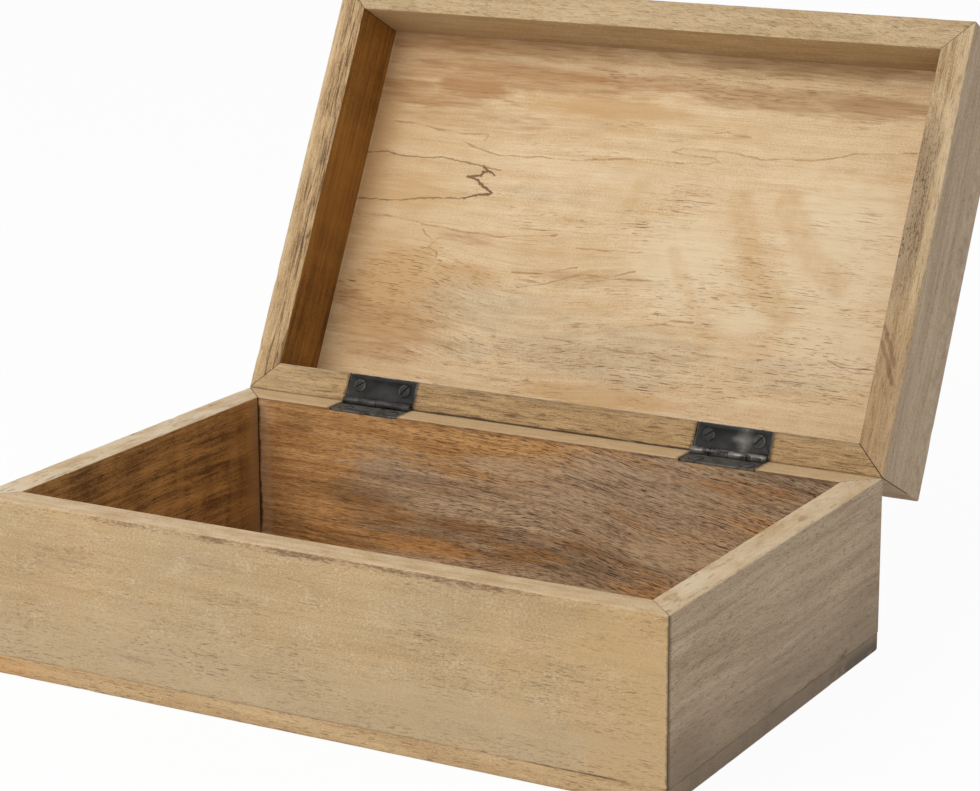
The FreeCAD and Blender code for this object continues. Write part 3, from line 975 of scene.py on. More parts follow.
# Lines drawn on the panel, and smears on the right rail: points along and across, in millimetres
SPALT_LINES = [
    [
        (-76.0, -23.2), (-73.2, -21.3), (-76.0, -20.8), (-76.7, -18.9), (-82.8, -18.0), (-78.6, -17.1),
        (-75.1, -14.8),
    ],
    [(-75.1, -14.8), (-71.0, -12.6), (-68.9, -11.5), (-70.6, -10.7), (-76.2, -9.9), (-82.6, -8.0)],
    [(-73.2, -21.3), (-69.7, -19.7)],
]
FINE_LINES = [
    [(-82.6, -8.0), (-93.4, -7.0), (-104.3, -6.0), (-115.7, -3.9), (-144.0, -2.6)],
    [
        (-145.0, -23.7), (-127.4, -26.1), (-121.1, -25.0), (-107.9, -24.6), (-97.7, -25.8),
        (-76.0, -23.2), (-67.7, -22.1),
    ],
]
FAINT_LINES = [
    [(-127.1, -40.4), (-113.9, -40.4), (-103.9, -38.5), (-90.7, -37.5), (-77.0, -38.3), (-78.6, -35.3)],
    [
        (-89.9, -34.4), (-82.2, -31.3), (-70.0, -29.2), (-47.4, -30.1), (-29.3, -30.1), (-0.2, -33.7),
        (20.9, -33.3),
    ],
    [
        (20.9, -33.3), (31.6, -33.9), (36.3, -35.7), (34.1, -36.8), (23.3, -36.9), (13.3, -38.2),
        (19.4, -40.0),
    ],
    [
        (19.4, -40.0), (43.0, -39.8), (56.1, -38.1), (80.7, -40.1), (92.6, -42.5), (95.8, -43.9),
        (124.0, -46.9),
    ],
    [(-127.5, 3.8), (-113.1, 4.0), (-98.5, 5.8), (-84.1, 7.0), (-60.8, 7.9), (-46.4, 6.2), (-32.2, 4.3)],
    [
        (-99.1, 7.9), (-97.4, 10.3), (-93.7, 12.7), (-89.9, 11.2), (-94.9, 15.9), (-89.8, 17.9),
        (-89.7, 20.2),
    ],
    [(-22.1, 9.3), (-6.6, 9.0), (9.6, 8.0)],
    [(-50.1, 23.3), (-36.8, 22.4), (-19.5, 17.7)],
    [(-46.3, 29.6), (-33.5, 26.7), (-15.0, 20.3), (-2.8, 20.3), (8.3, 16.6)],
    [(-16.3, 23.8), (3.8, 20.6), (25.2, 19.3)],
    [(-28.8, 50.3), (-16.4, 50.9), (10.2, 52.0), (25.4, 52.5), (36.4, 53.9)],
    [(8.7, 41.4), (24.3, 38.6), (30.7, 36.0), (40.9, 35.6)],
    [(104.7, 44.9), (115.5, 48.4), (124.5, 48.1)],
    [(32.0, -48.0), (37.0, -49.0), (43.0, -47.4), (49.0, -47.2)],
]
SMEARS = [[(-34.0, 12.4), (-42.0, 8.0), (-50.0, 5.0)], [(-40.0, 12.4), (-48.0, 8.6), (-57.0, 4.0)]]
NARROW_BARS = [[(24.2, 6.1), (47.7, 44.7)], [(3.2, -22.4), (-3.8, -9.1)]]
WIDE_BARS = [[(49.9, -19.6), (63.9, 13.9), (78.3, 27.2)], [(72.1, -19.5), (87.5, 3.1), (100.9, 12.6)]]


def panel_wood(place, run):
    """Lid panel: blond, with brown bands along its front and thin dark spalt lines."""
    grain = Grain("lid panel wood", place, run, sway=5.0, ripple=2.0, eddy=6.0)
    tones = palette()
    tone = grain.tone(level=0.64, long=70.0, wide=3.0, streaks=1.3, fibre=1.1, grit=1.2)
    tone = tone + grain.patches(10.0, 5.0, 5.0) * 0.8
    inner = mix(tone, tones.panel_deep, tones.panel_pale)
    inner = lay(inner, tones.panel_light, grain.spots(PALE_PATCHES, 0.8), 0.75)
    inner = lay(inner, tones.panel_tan, grain.spots(TAN_PATCHES, 0.6), 0.65)
    bloom = mix(tone, tones.panel_ash, tones.panel_grey)
    inner = lay(inner, bloom, grain.spots(GREY_PATCHES, 0.9), 0.7)
    drawn = grain.shaken(8.0, 2.0)
    jagged = grain.shaken(2.4, 1.8)
    bars = (strokes(drawn, NARROW_BARS, 5.0) * 0.7).above(strokes(drawn, WIDE_BARS, 9.0))
    inner = lay(inner, tones.panel_tan, bars * rise(grain.torn + grain.patches(5.0, 5.0), -0.45, 0.25), 0.46)
    # Painted shade: the panel darkens towards the left rail.
    inner = lay(inner, tones.panel_tan, grain.tear(grain.along, -60.0, -136.0, 40.0), 0.36)
    brown = grain.spots(BROWN_PATCHES, 0.8)
    band = mix(rise(grain.along, -10.0, 50.0) * 0.5, tones.panel_band, tones.rail_grey)
    inner = mix(brown * (0.9 + grain.streaks(30.0, 1.4) * 1.6), inner, band)
    dark = grain.wisps(14.0, 0.7, 0.02, 0.24) * (0.16 + brown * 0.62)
    inner = mix(dark, inner, tones.panel_dark)
    inner = lay(inner, tones.panel_tan, grain.wisps(30.0, 1.5, 0.06, 0.24), 0.35)
    crowd = grain.patches(40.0, 12.0) + grain.spots(DASH_PATCHES) * 0.3
    crowd = rise(crowd + grain.across * 0.001, -0.06, 0.24)
    fine = grain.flecks(*PANEL_FINE) * crowd
    bold = grain.flecks(*PANEL_BOLD) * crowd
    inner = lay(inner, tones.panel_vein, fine, 0.72)
    inner = lay(inner, tones.panel_pore, bold, 0.8)
    swell = 1.0 + grain.patches(6.0, 6.0) * 2.0
    broken = 0.16 + rise(grain.patches(12.0, 12.0, 4.0), -0.12, 0.12) * 0.44
    inner = mix(strokes(drawn, FAINT_LINES, swell * 0.5) * broken, inner, tones.panel_vein)
    lines = strokes(jagged, SPALT_LINES, swell * 0.8).above(strokes(jagged, FINE_LINES, swell * 0.5) * 0.7)
    inner = lay(inner, tones.spalt, lines, 0.85)
    joint = rise(abs(grain.along + grain.half - board_thickness / MM - 0.4), 0.8, 0.3)
    inner = lay(inner, tones.panel_light, joint * rise(grain.patches(14.0, 14.0), -0.1, 0.2), 0.4)
    outer = figured_face(grain, fine.above(bold))
    rubbed = grain.fade(grain.from_edge(), 3.0, 0.8, 4.0, 14.0, 14.0, 4.0)
    rubbed = rubbed * rise(grain.grit + grain.torn, -0.1, 0.3)
    outer = lay(outer, tones.grime, rubbed, 0.6)
    outer = mix(grain.on_end(), outer, side_face(grain))
    on_inside = rise(grain.depth, panel_thickness / MM - 0.4, panel_thickness / MM - 0.1)
    return grain.finish(mix(on_inside, outer, inner), fine.above(bold))


# Ironwork: noise lengths, and the rubbed place on the right lid leaf that paints its highlight, in
# millimetres from the pin's middle
IRON_PATCH = (4.0, 4.0, 4.0)
IRON_BLOOM = (11.0, 7.0, 7.0)
IRON_SCRATCH = (0.3, 3.0, 3.0)
IRON_SCUFF = (8.0, 2.0, 2.0)
IRON_GRAIN = 0.6
HIGHLIGHT_ALONG = 88.5
HIGHLIGHT_UP = 6.0
IRON_SPECULAR = 0.18
IRON_ROUGHNESS = 0.44
IRON_METAL = 0.8
IRON_BUMP = 0.5
IRON_RELIEF = 0.08 * MM


def iron(name, lift=0.0):
    """Blackened iron, scuffed on the knuckles and rubbed at the edges; painted lighter on the box leaves,
    with painted highlights on the right hinge's knuckles, a rubbed patch of one lid leaf and the screw
    heads' rims, and painted shade round the heads.
    """
    tones = palette()
    sizes = bpy.context.scene.keepsake_hinges
    material, sheet, finish = new_material(name)
    point = board_point(sheet, Matrix.Translation(pin_place))
    along, forward, up = parts_of(point)
    reach = sheet.maths("SQRT", forward * forward + up * up)
    barrel = (sizes.bore + sizes.leaf_thickness) / MM
    leaf_end = sizes.leaf_length / MM / 2
    leaf_edge = sizes.leaf_width / MM
    head = sizes.screw_head / MM / 2
    on_hinge = hinge_side(along)
    beside = abs(on_hinge - sizes.screw_spacing / MM / 2)
    over = reach - sizes.screw_row / MM
    from_screw = sheet.maths("SQRT", beside * beside + over * over)
    patches = cloud(point, IRON_PATCH, 4.0, IRON_GRAIN)
    bloom = cloud(point, IRON_BLOOM)
    scratches = cloud(point, IRON_SCRATCH, 3.0, IRON_GRAIN)
    rolled = rise(reach, barrel + 0.55, barrel - 0.05)
    scuffs = rise(cloud(point, IRON_SCUFF, 3.0) + scratches * 0.6, -0.2, 0.2)
    # Scuffs on the knuckles; those of the right hinge are brighter as painted highlight.
    knuckles = rolled * scuffs * (0.25 + rise(along, 0.0, 20.0) * 0.45)
    # Painted light: the upward box leaves are painted lighter grey than the lid leaves of the same iron.
    box_leaf = rise(up, 1.2, 0.2) * rise(forward, -2.0, -2.6)
    ends = rise(on_hinge, leaf_end - 0.55, leaf_end - 0.05)
    ends = ends.above(rise(reach, leaf_edge - 0.52, leaf_edge - 0.02)) * rise(patches, -0.15, 0.1) * 0.5
    # A lighter, metallic ring at each screw head's rim: wear with painted highlight.
    heads = rise(abs(from_screw - (head - 0.3)), 0.5, 0.1) * rise(patches + bloom, -0.1, 0.15)
    heads = heads * (0.1 + lift * 0.36)
    # A rubbed patch on the right lid leaf, lighter and more metallic: worn iron that paints the lamp's
    # highlight there.
    from_highlight = abs(along - HIGHLIGHT_ALONG) + abs(up - HIGHLIGHT_UP) * 0.8
    polish_highlight = rise(from_highlight + patches * 6.0, 7.5, 0.5) * 0.38
    bright = knuckles.above(polish_highlight).above(ends).above(heads)
    thin = rise(bloom + patches * 0.4, -0.06, 0.26) * 0.4 + box_leaf * 0.9 + lift * 0.6
    colour = mix(thin, tones.iron, tones.iron_grey)
    colour = lay(colour, tones.iron_wear_and_highlight, box_leaf * rise(patches, -0.3, 0.2), 0.24)
    # Painted shade: a dark ring in the gap round each screw head.
    colour = lay(colour, tones.iron, rise(abs(from_screw - (head + 0.2)), 0.4, 0.15), 0.8)
    colour = mix(bright, colour, tones.iron_wear_and_highlight)
    finish.inputs["Specular IOR Level"].default_value = IRON_SPECULAR
    link(sheet, bright * IRON_METAL, finish, "Metallic")
    link(sheet, colour, finish, "Base Color")
    roughness = IRON_ROUGHNESS + patches * 0.3 + scratches * 0.15 - bright * 0.2
    link(sheet, roughness, finish, "Roughness")
    relief = patches * 1.4 + bloom * 2.0 + scratches * 0.5
    sockets = {"Strength": IRON_BUMP, "Distance": IRON_RELIEF, "Height": relief}
    link(sheet, sheet.add("ShaderNodeBump", None, sockets), finish, "Normal")
    return material


def frame_of(along, through, origin):
    """A board's frame: along the grain, through the board and, square to both, across it."""
    along = Vector(along)
    through = Vector(through)
    across = along.cross(through)
    turn = Matrix((along, through, across)).transposed().to_4x4()
    return Matrix.Translation(origin) @ turn


# Wear of the arrises: lengths of its waves, their layers of noise and their shares
SOFT_WAVE = 24 * MM
FINE_WAVE = 5 * MM
KNOCK_WAVE = 9 * MM
SOFT_LAYER = 0.5
FINE_LAYER = 7.5
KNOCK_LAYER = 3.5
SOFT_WEAR = 0.5
FINE_WEAR = 0.3
KNOCK_START = 0.42
KNOCK_GAIN = 2.5
WEAR_START = 0.3
INNER_LEAST = 0.6
INNER_SPREAD = 0.8
INNER_SEED = 11.0
EDGE_REACH = 2.5
EDGE_WEAR = 0.35
EDGE_KNOCK = 0.5

# Seeds that give each board its own wear
SEED_STEP = 3.7
WALL_SEED = 0
RAIL_SEED = 40
BASE_SEED = 21.3
PANEL_SEED = 63.1

# Steps of the mesh: round an arris, across a face, at the mitres and in from a flat board's edge
ARRIS_STEPS = 4
INNER_STEPS = 3
SLAB_STEPS = 5
CORNER_STEPS = 4
FACE_STEPS = 6
RIM_STEPS = 4
FOOT_STEPS = 3
SIDE_STEPS = 3
MITRE_SHARES = (1.0, 0.9993, 0.9985, 0.9975, 0.9962)
MIDDLE_SHARE = 0.994
FACE_INSETS = (60 * MM, 25 * MM, 8 * MM)
EDGE_INSET = 3 * MM
MERGE_DISTANCE = 0.001 * MM
SHARP_ANGLE = 35.0
MORTISE_REACH = 6 * MM


def wave(distance, long, seed, layer):
    """Smooth noise along an arris."""
    return noise.noise(Vector((distance / long, seed, layer)))


def worn(distance, seed):
    """How far an arris is worn at a place along it, from 0 to 1, and how deep a knock is there."""
    soft = wave(distance, SOFT_WAVE, seed, SOFT_LAYER)
    fine = wave(distance, FINE_WAVE, seed, FINE_LAYER)
    knock = max(0.0, wave(distance, KNOCK_WAVE, seed, KNOCK_LAYER) - KNOCK_START)
    return SOFT_WEAR + SOFT_WEAR * soft + FINE_WEAR * fine, knock * KNOCK_GAIN


def arc(radius, steps):
    """Points of a quarter round from a face onto the next, as (inset, drop)."""
    points = []
    for step in range(steps + 1):
        angle = math.pi / 2 * step / steps
        points.append((radius * (1 - math.cos(angle)), radius * (1 - math.sin(angle))))
    return points


def spread(start, end, count):
    """Evenly spaced values, both ends included."""
    return [start + (end - start) * step / count for step in range(count + 1)]


def rim_section(outer, inner, height, sizes):
    """Outline across a rim board as (depth, height), from its outer foot over the rim and back."""
    seam = sizes.seam
    points = [(0.0, value) for value in spread(seam, height - outer, FACE_STEPS)[:-1]]
    points += [(inset, height - drop) for inset, drop in arc(outer, ARRIS_STEPS)]
    points += [(value, height) for value in spread(outer, board_thickness - inner, RIM_STEPS)[1:-1]]
    points += [(board_thickness - inset, height - drop) for inset, drop in reversed(arc(inner, INNER_STEPS))]
    points += [(board_thickness, value) for value in spread(height - inner, 0.0, FACE_STEPS)[1:]]
    points += [(value, 0.0) for value in spread(board_thickness, seam, FOOT_STEPS)[1:]]
    return points


def rim_board(board_length, height, sizes, seed):
    """A mitred board of a box or lid side, in its own frame, as a bmesh."""
    half = board_length / 2
    corner = sizes.corner * (1 - math.sqrt(0.5))
    outer_half = half - corner - sizes.mitre_gap
    inner_half = half - board_thickness - sizes.mitre_gap
    count = int(board_length / sizes.station)
    shares = [-share for share in MITRE_SHARES]
    shares += spread(-MIDDLE_SHARE, MIDDLE_SHARE, count)
    shares += reversed(MITRE_SHARES)
    mesh = bmesh.new()
    rings = []
    for share in shares:
        start = share * outer_half
        wear, knock = worn(start, seed)
        outer = sizes.arris + sizes.wear * max(0.0, wear - WEAR_START) + sizes.nick * knock
        inner = sizes.inner_arris * (INNER_LEAST + INNER_SPREAD * worn(start, seed + INNER_SEED)[0])
        from_end = max(0.0, half - abs(start))
        lean = max(0.0, sizes.corner - from_end)
        dip = sizes.corner - math.sqrt(sizes.corner ** 2 - lean ** 2)
        ring = []
        for depth, up in rim_section(outer, inner, height, sizes):
            part = depth / board_thickness
            x = start + (share * inner_half - start) * part
            y = dip + (board_thickness - dip) * part
            ring.append(mesh.verts.new((x, y, up)))
        rings.append(ring)
    skin(mesh, rings)
    return mesh


def skin(mesh, rings):
    """Join closed rings of points by faces and close the first and the last."""
    for first, second in zip(rings, rings[1:]):
        for index in range(len(first)):
            after = (index + 1) % len(first)
            mesh.faces.new((first[index], second[index], second[after], first[after]))
    mesh.faces.new(rings[0])
    mesh.faces.new(list(reversed(rings[-1])))
    bmesh.ops.remove_doubles(mesh, verts=mesh.verts, dist=MERGE_DISTANCE)
    bmesh.ops.recalc_face_normals(mesh, faces=mesh.faces)


def plan_ring(width, depth, corner, inset, station):
    """A rounded rectangle, moved in by an inset, with as many points for every inset."""
    points = []
    half = (width / 2, depth / 2)
    bend = max(corner - inset, 0.0)
    middle = max(corner, inset)
    quarters = ((1, 1, 0.0), (-1, 1, 90.0), (-1, -1, 180.0), (1, -1, 270.0))
    for number, (side_x, side_y, turn) in enumerate(quarters):
        centre = Vector((side_x * (half[0] - middle), side_y * (half[1] - middle)))
        arc_points = []
        for step in range(CORNER_STEPS + 1):
            angle = math.radians(turn + 90.0 * step / CORNER_STEPS)
            arc_points.append(centre + bend * Vector((math.cos(angle), math.sin(angle))))
        points += arc_points
        next_x, next_y, _ = quarters[(number + 1) % len(quarters)]
        next_centre = Vector((next_x * (half[0] - middle), next_y * (half[1] - middle)))
        angle = math.radians(turn + 90.0)
        goal = next_centre + bend * Vector((math.cos(angle), math.sin(angle)))
        run = width if number % 2 == 0 else depth
        count = int(run / station)
        points += [arc_points[-1].lerp(goal, step / count) for step in range(1, count)]
    return points


def slab(width, depth, thickness, arris, corner, sizes, seed):
    """A flat board with one worn face at level 0, in its own frame, as a bmesh."""
    mesh = bmesh.new()
    rings = []
    levels = [(inset, 0.0) for inset in (*FACE_INSETS, EDGE_INSET)]
    levels += [(inset, drop) for drop, inset in arc(arris, SLAB_STEPS)]
    levels += [(0.0, value) for value in spread(arris, thickness - sizes.seam, SIDE_STEPS)[1:]]
    levels += [(inset, thickness) for inset in (sizes.seam, *reversed(FACE_INSETS))]
    for inset, down in levels:
        ring = []
        for number, place in enumerate(plan_ring(width, depth, corner, inset, sizes.station)):
            run = number * sizes.station
            wear, knock = worn(run, seed)
            near = max(0.0, 1 - (inset + down) / (EDGE_REACH * arris))
            edge = near * (wear * EDGE_WEAR + knock * EDGE_KNOCK) * sizes.wear
            inward = place.normalized() * edge
            ring.append(mesh.verts.new((place.x - inward.x, down + edge, place.y - inward.y)))
        rings.append(ring)
    skin(mesh, rings)
    return mesh


def block(mesh, low, high):
    """Add a box between two corners to a bmesh."""
    middle = (Vector(low) + Vector(high)) / 2
    size = Vector(high) - Vector(low)
    fit = Matrix.Translation(middle) @ Matrix.Diagonal((*size, 1.0))
    bmesh.ops.create_cube(mesh, size=1.0, matrix=fit)


def as_object(name, mesh):
    """Turn a bmesh into an object at the origin."""
    data = bpy.data.meshes.new(name)
    mesh.to_mesh(data)
    mesh.free()
    piece = bpy.data.objects.new(name, data)
    bpy.context.scene.collection.objects.link(piece)
    return piece


def settle(piece):
    """Replace an object's modifiers by the plain mesh that they give."""
    graph = bpy.context.evaluated_depsgraph_get()
    data = bpy.data.meshes.new_from_object(piece.evaluated_get(graph))
    piece.modifiers.clear()
    old = piece.data
    piece.data = data
    bpy.data.meshes.remove(old)


def combine(piece, tool, operation):
    """Cut a shape out of a piece or join it on, and drop the shape."""
    modifier = piece.modifiers.new(operation.title(), "BOOLEAN")
    modifier.operation = operation
    modifier.solver = "EXACT"
    modifier.object = tool
    settle(piece)
    bpy.data.objects.remove(tool)


def hand_over(piece, material, body, nodes):
    """Finish a piece: its material, its shading, its body and the nodes that it stands for."""
    piece.data.materials.clear()
    piece.data.materials.append(material)
    for face in piece.data.polygons:
        face.use_smooth = True
    piece.data.set_sharp_from_angle(angle=math.radians(SHARP_ANGLE))
    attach(piece, body)
    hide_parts(*nodes)


def box_side(side):
    """Frame and length of one side of the box, from its outer foot, walls standing on the base."""
    front = Vector((0.0, -box_depth / 2, 0.0))
    right = Vector((box_width / 2, 0.0, 0.0))
    sides = {
        "front": (front, box_width),
        "back": (-front, box_width),
        "left": (-right, box_depth),
        "right": (right, box_depth),
    }
    return sides[side]


def wall_frame(side):
    """A wall's frame, with its foot on the base."""
    foot, run = box_side(side)
    inward = -foot.normalized()
    along = inward.cross(Vector((0, 0, 1)))
    return frame_of(along, inward, foot + Vector((0, 0, base_high.z))), run


def rail_frame(side):
    """A lid rail's frame on the open lid, with its foot on the panel."""
    foot, run = box_side(side)
    inward = -foot.normalized()
    along = inward.cross(Vector((0, 0, -1)))
    shut = frame_of(along, inward, foot + Vector((0, 0, lid_rim + rail_height)))
    return opened @ shut, run


def mortises(sizes, turn):
    """Cutting shape for both hinges' mortises, on the box or turned over onto the lid."""
    barrel = sizes.bore + sizes.leaf_thickness
    half = sizes.leaf_length / 2 + sizes.clearance
    roll = barrel + sizes.clearance
    reach = MORTISE_REACH
    front = -sizes.leaf_width - reach
    outline = [
        (front, -barrel), (-roll, -barrel), (-roll, -roll), (reach, -roll), (reach, reach), (front, reach),
    ]
    mesh = bmesh.new()
    for side in (-1, 1):
        middle = side * sizes.spacing / 2
        rings = []
        for x in (middle - half, middle + half):
            rings.append([mesh.verts.new((x, y, up)) for y, up in outline])
        skin(mesh, rings)
    mesh.transform(turn)
    return as_object("mortises", mesh)


on_box = Matrix.Translation(pin_place)
on_lid = opened @ Matrix.Translation(pin_place) @ Matrix.Rotation(math.pi, 4, "Y")
hinge_places = {"box": on_box, "lid": on_lid}


def four_sides(prefix, woods, side_frame, height, seed, turn):
    """Build four mitred boards, with mortises in the back one: each side, its piece and its wood."""
    sizes = bpy.context.scene.keepsake_boards
    hinges = bpy.context.scene.keepsake_hinges
    for number, (side, wood) in enumerate(woods.items()):
        place, run = side_frame(side)
        mesh = rim_board(run, height, sizes, seed + number * SEED_STEP)
        mesh.transform(place)
        piece = as_object(f"{prefix}_{side}", mesh)
        if side == "back":
            combine(piece, mortises(hinges, turn), "DIFFERENCE")
        yield side, piece, wood(place, run)


class KEEPSAKE_OT_walls(bpy.types.Operator):
    """Build the four mitred walls of the box"""

    bl_idname = "keepsake.walls"
    bl_label = "Walls"

    def execute(self, context):
        woods = {
            "front": front_wall_wood,
            "back": back_wall_wood,
            "left": left_wall_wood,
            "right": right_wall_wood,
        }
        for side, piece, wood in four_sides("wall", woods, wall_frame, wall_height, WALL_SEED, on_box):
            hand_over(piece, wood, "box", [f"{side}_wall"])
        return {"FINISHED"}


class KEEPSAKE_OT_base(bpy.types.Operator):
    """Build the bottom board under the walls"""

    bl_idname = "keepsake.base"
    bl_label = "Base"

    def execute(self, context):
        sizes = context.scene.keepsake_boards
        place = frame_of((1, 0, 0), (0, 0, 1), (0, 0, 0))
        arris = sizes.base_arris
        mesh = slab(box_width, box_depth, base_thickness, arris, arris, sizes, BASE_SEED)
        mesh.transform(place)
        piece = as_object("base_board", mesh)
        hand_over(piece, base_wood(place, box_width), "box", ["bottom_board"])
        return {"FINISHED"}


class KEEPSAKE_OT_rails(bpy.types.Operator):
    """Build the four mitred rails of the lid"""

    bl_idname = "keepsake.rails"
    bl_label = "Lid rails"

    def execute(self, context):
        woods = {
            "front": front_rail_wood,
            "back": back_rail_wood,
            "left": left_rail_wood,
            "right": right_rail_wood,
        }
        for side, piece, wood in four_sides("lid_rail", woods, rail_frame, rail_height, RAIL_SEED, on_lid):
            hand_over(piece, wood, "lid", [f"lid_{side}_rail"])
        return {"FINISHED"}


class KEEPSAKE_OT_panel(bpy.types.Operator):
    """Build the panel that covers the lid"""

    bl_idname = "keepsake.panel"
    bl_label = "Lid panel"

    def execute(self, context):
        sizes = context.scene.keepsake_boards
        top = Vector((0, 0, lid_rim + rail_height + panel_thickness))
        place = opened @ frame_of((1, 0, 0), (0, 0, -1), top)
        mesh = slab(box_width, box_depth, panel_thickness, sizes.arris, sizes.corner, sizes, PANEL_SEED)
        mesh.transform(place)
        piece = as_object("lid_panel", mesh)
        hand_over(piece, panel_wood(place, box_width), "lid", ["lid_top_board"])
        return {"FINISHED"}


# Hinges: knuckles on each, steps of their curves, and clearance of a screw in its countersink
KNUCKLES = 4
KNUCKLE_STEPS = 28
LEAF_STEPS = 5
SINK_STEPS = 32
SINK_CLEARANCE = 0.05 * MM
BEVEL_STEPS = 2
BEVEL_ANGLE = 40.0

# Screws: dome of the head as shares of its radius and drops, and the point
SCREW_STEPS = 40
HEAD_DOME = ((0.5, 0.03 * MM), (0.82, 0.1 * MM), (0.96, 0.2 * MM), (1.0, 0.3 * MM))
POINT_LENGTH = 4 * MM
POINT_SHARE = 0.4
POINT_END = 0.6 * MM
SLOT_TURN = 45.0
SLOT_SPREAD = 12.0
SLOT_SEED = 3
SCREW_LIFT = 0.5

# Pins: dome of an end as shares of the radius, its height and its length
PIN_STEPS = 28
DOME_SHARES = (0.5, 0.8, 0.95)
DOME_HEIGHT = 0.35 * MM
DOME_LENGTH = 0.5 * MM


def turned(profile, segments):
    """A closed turned shape from (radius, height) pairs, axis up, as a bmesh."""
    mesh = bmesh.new()
    turns = [math.tau * step / segments for step in range(segments)]
    around = [(math.cos(turn), math.sin(turn)) for turn in turns]
    rings = []
    for radius, up in profile:
        rings.append([mesh.verts.new((radius * x, radius * y, up)) for x, y in around])
    skin(mesh, rings)
    return mesh


def leaf_plate(sizes):
    """The flat of one leaf, pin along X through the origin, as a bmesh."""
    half = sizes.leaf_length / 2
    edge = -(sizes.bore + sizes.leaf_thickness + sizes.clearance)
    bend = sizes.leaf_corner
    outline = [(half, edge), (-half, edge)]
    for centre_x, turn in ((-half + bend, 180.0), (half - bend, 270.0)):
        for step in range(LEAF_STEPS + 1):
            angle = math.radians(turn + 90.0 * step / LEAF_STEPS)
            x = centre_x + bend * math.cos(angle)
            outline.append((x, -sizes.leaf_width + bend + bend * math.sin(angle)))
    mesh = bmesh.new()
    rings = []
    for up in (-sizes.bore - sizes.leaf_thickness, -sizes.bore):
        rings.append([mesh.verts.new((x, y, up)) for x, y in outline])
    skin(mesh, rings)
    return mesh


def knuckle(sizes, start, run):
    """One knuckle: the sheet carried on round the pin, as a bmesh."""
    barrel = sizes.bore + sizes.leaf_thickness
    root = -(barrel + sizes.clearance + sizes.leaf_thickness)
    end = 180.0 + math.degrees(math.asin((sizes.bore - sizes.knuckle_gap) / barrel))
    steps = KNUCKLE_STEPS
    outline = [(root, -barrel)]
    for radius, order in ((barrel, range(steps + 1)), (sizes.bore, range(steps, -1, -1))):
        for step in order:
            angle = math.radians(-90.0 + (end + 90.0) * step / steps)
            outline.append((radius * math.cos(angle), radius * math.sin(angle)))
    outline.append((root, -sizes.bore))
    mesh = bmesh.new()
    rings = []
    for x in (start, start + run):
        rings.append([mesh.verts.new((x, y, up)) for y, up in outline])
    skin(mesh, rings)
    return mesh


def screw_profile(sizes, clearance=0.0):
    """Half outline of a screw, head a little proud of the origin."""
    head = sizes.screw_head / 2 + clearance
    shank = sizes.screw_shank / 2 + clearance
    proud = sizes.screw_proud
    tip = proud - sizes.screw_length
    profile = [(0.0, proud)]
    profile += [(head * share, proud - drop) for share, drop in HEAD_DOME]
    profile += [(shank, -sizes.leaf_thickness), (shank, tip + POINT_LENGTH)]
    profile += [(shank * POINT_SHARE, tip + POINT_END), (0.0, tip)]
    return profile


def one_leaf(sizes):
    """A leaf with its knuckles and countersinks, as an object at the origin."""
    pitch = sizes.leaf_length / KNUCKLES
    piece = as_object("leaf", leaf_plate(sizes))
    for number in range(KNUCKLES // 2):
        start = -sizes.leaf_length / 2 + (2 * number + 1) * pitch + sizes.knuckle_gap / 2
        roll = as_object("knuckle", knuckle(sizes, start, pitch - sizes.knuckle_gap))
        combine(piece, roll, "UNION")
    for side in (-1, 1):
        sink = turned(screw_profile(sizes, SINK_CLEARANCE), SINK_STEPS)
        sink.transform(Matrix.Translation((side * sizes.screw_spacing / 2, -sizes.screw_row, -sizes.bore)))
        combine(piece, as_object("countersink", sink), "DIFFERENCE")
    bevel = piece.modifiers.new("Soft edges", "BEVEL")
    bevel.width = sizes.bevel
    bevel.segments = BEVEL_STEPS
    bevel.limit_method = "ANGLE"
    bevel.angle_limit = math.radians(BEVEL_ANGLE)
    settle(piece)
    return piece


def one_screw(sizes):
    """A slotted screw, as an object at the origin."""
    piece = as_object("screw", turned(screw_profile(sizes), SCREW_STEPS))
    slot = bmesh.new()
    reach = sizes.screw_head
    floor = sizes.screw_proud - sizes.slot_depth
    block(slot, (-reach, -sizes.slot_width / 2, floor), (reach, sizes.slot_width / 2, reach))
    combine(piece, as_object("slot", slot), "DIFFERENCE")
    return piece


def one_pin(sizes):
    """A pin with domed ends along X, as an object at the origin."""
    half = sizes.leaf_length / 2
    radius = sizes.pin_radius
    profile = [(0.0, -half)]
    profile += [(radius * share, -half + DOME_HEIGHT * share ** 4) for share in DOME_SHARES]
    profile += [(radius, -half + DOME_LENGTH), (radius, half - DOME_LENGTH)]
    profile += [(radius * share, half - DOME_HEIGHT * share ** 4) for share in reversed(DOME_SHARES)]
    profile.append((0.0, half))
    mesh = turned(profile, PIN_STEPS)
    mesh.transform(Matrix.Rotation(math.pi / 2, 4, "Y"))
    return as_object("pin", mesh)


REPEAT_INPUTS = {
    "Shape": "NodeSocketGeometry",
    "Hinge spacing": "NodeSocketFloat",
    "Row count": "NodeSocketInt",
    "Row spacing": "NodeSocketFloat",
    "Row place": "NodeSocketVector",
    "Turn": "NodeSocketFloat",
    "Turn spread": "NodeSocketFloat",
    "Seed": "NodeSocketInt",
    "Place": "NodeSocketVector",
    "Tilt": "NodeSocketRotation",
    "Finish": "NodeSocketMaterial",
}


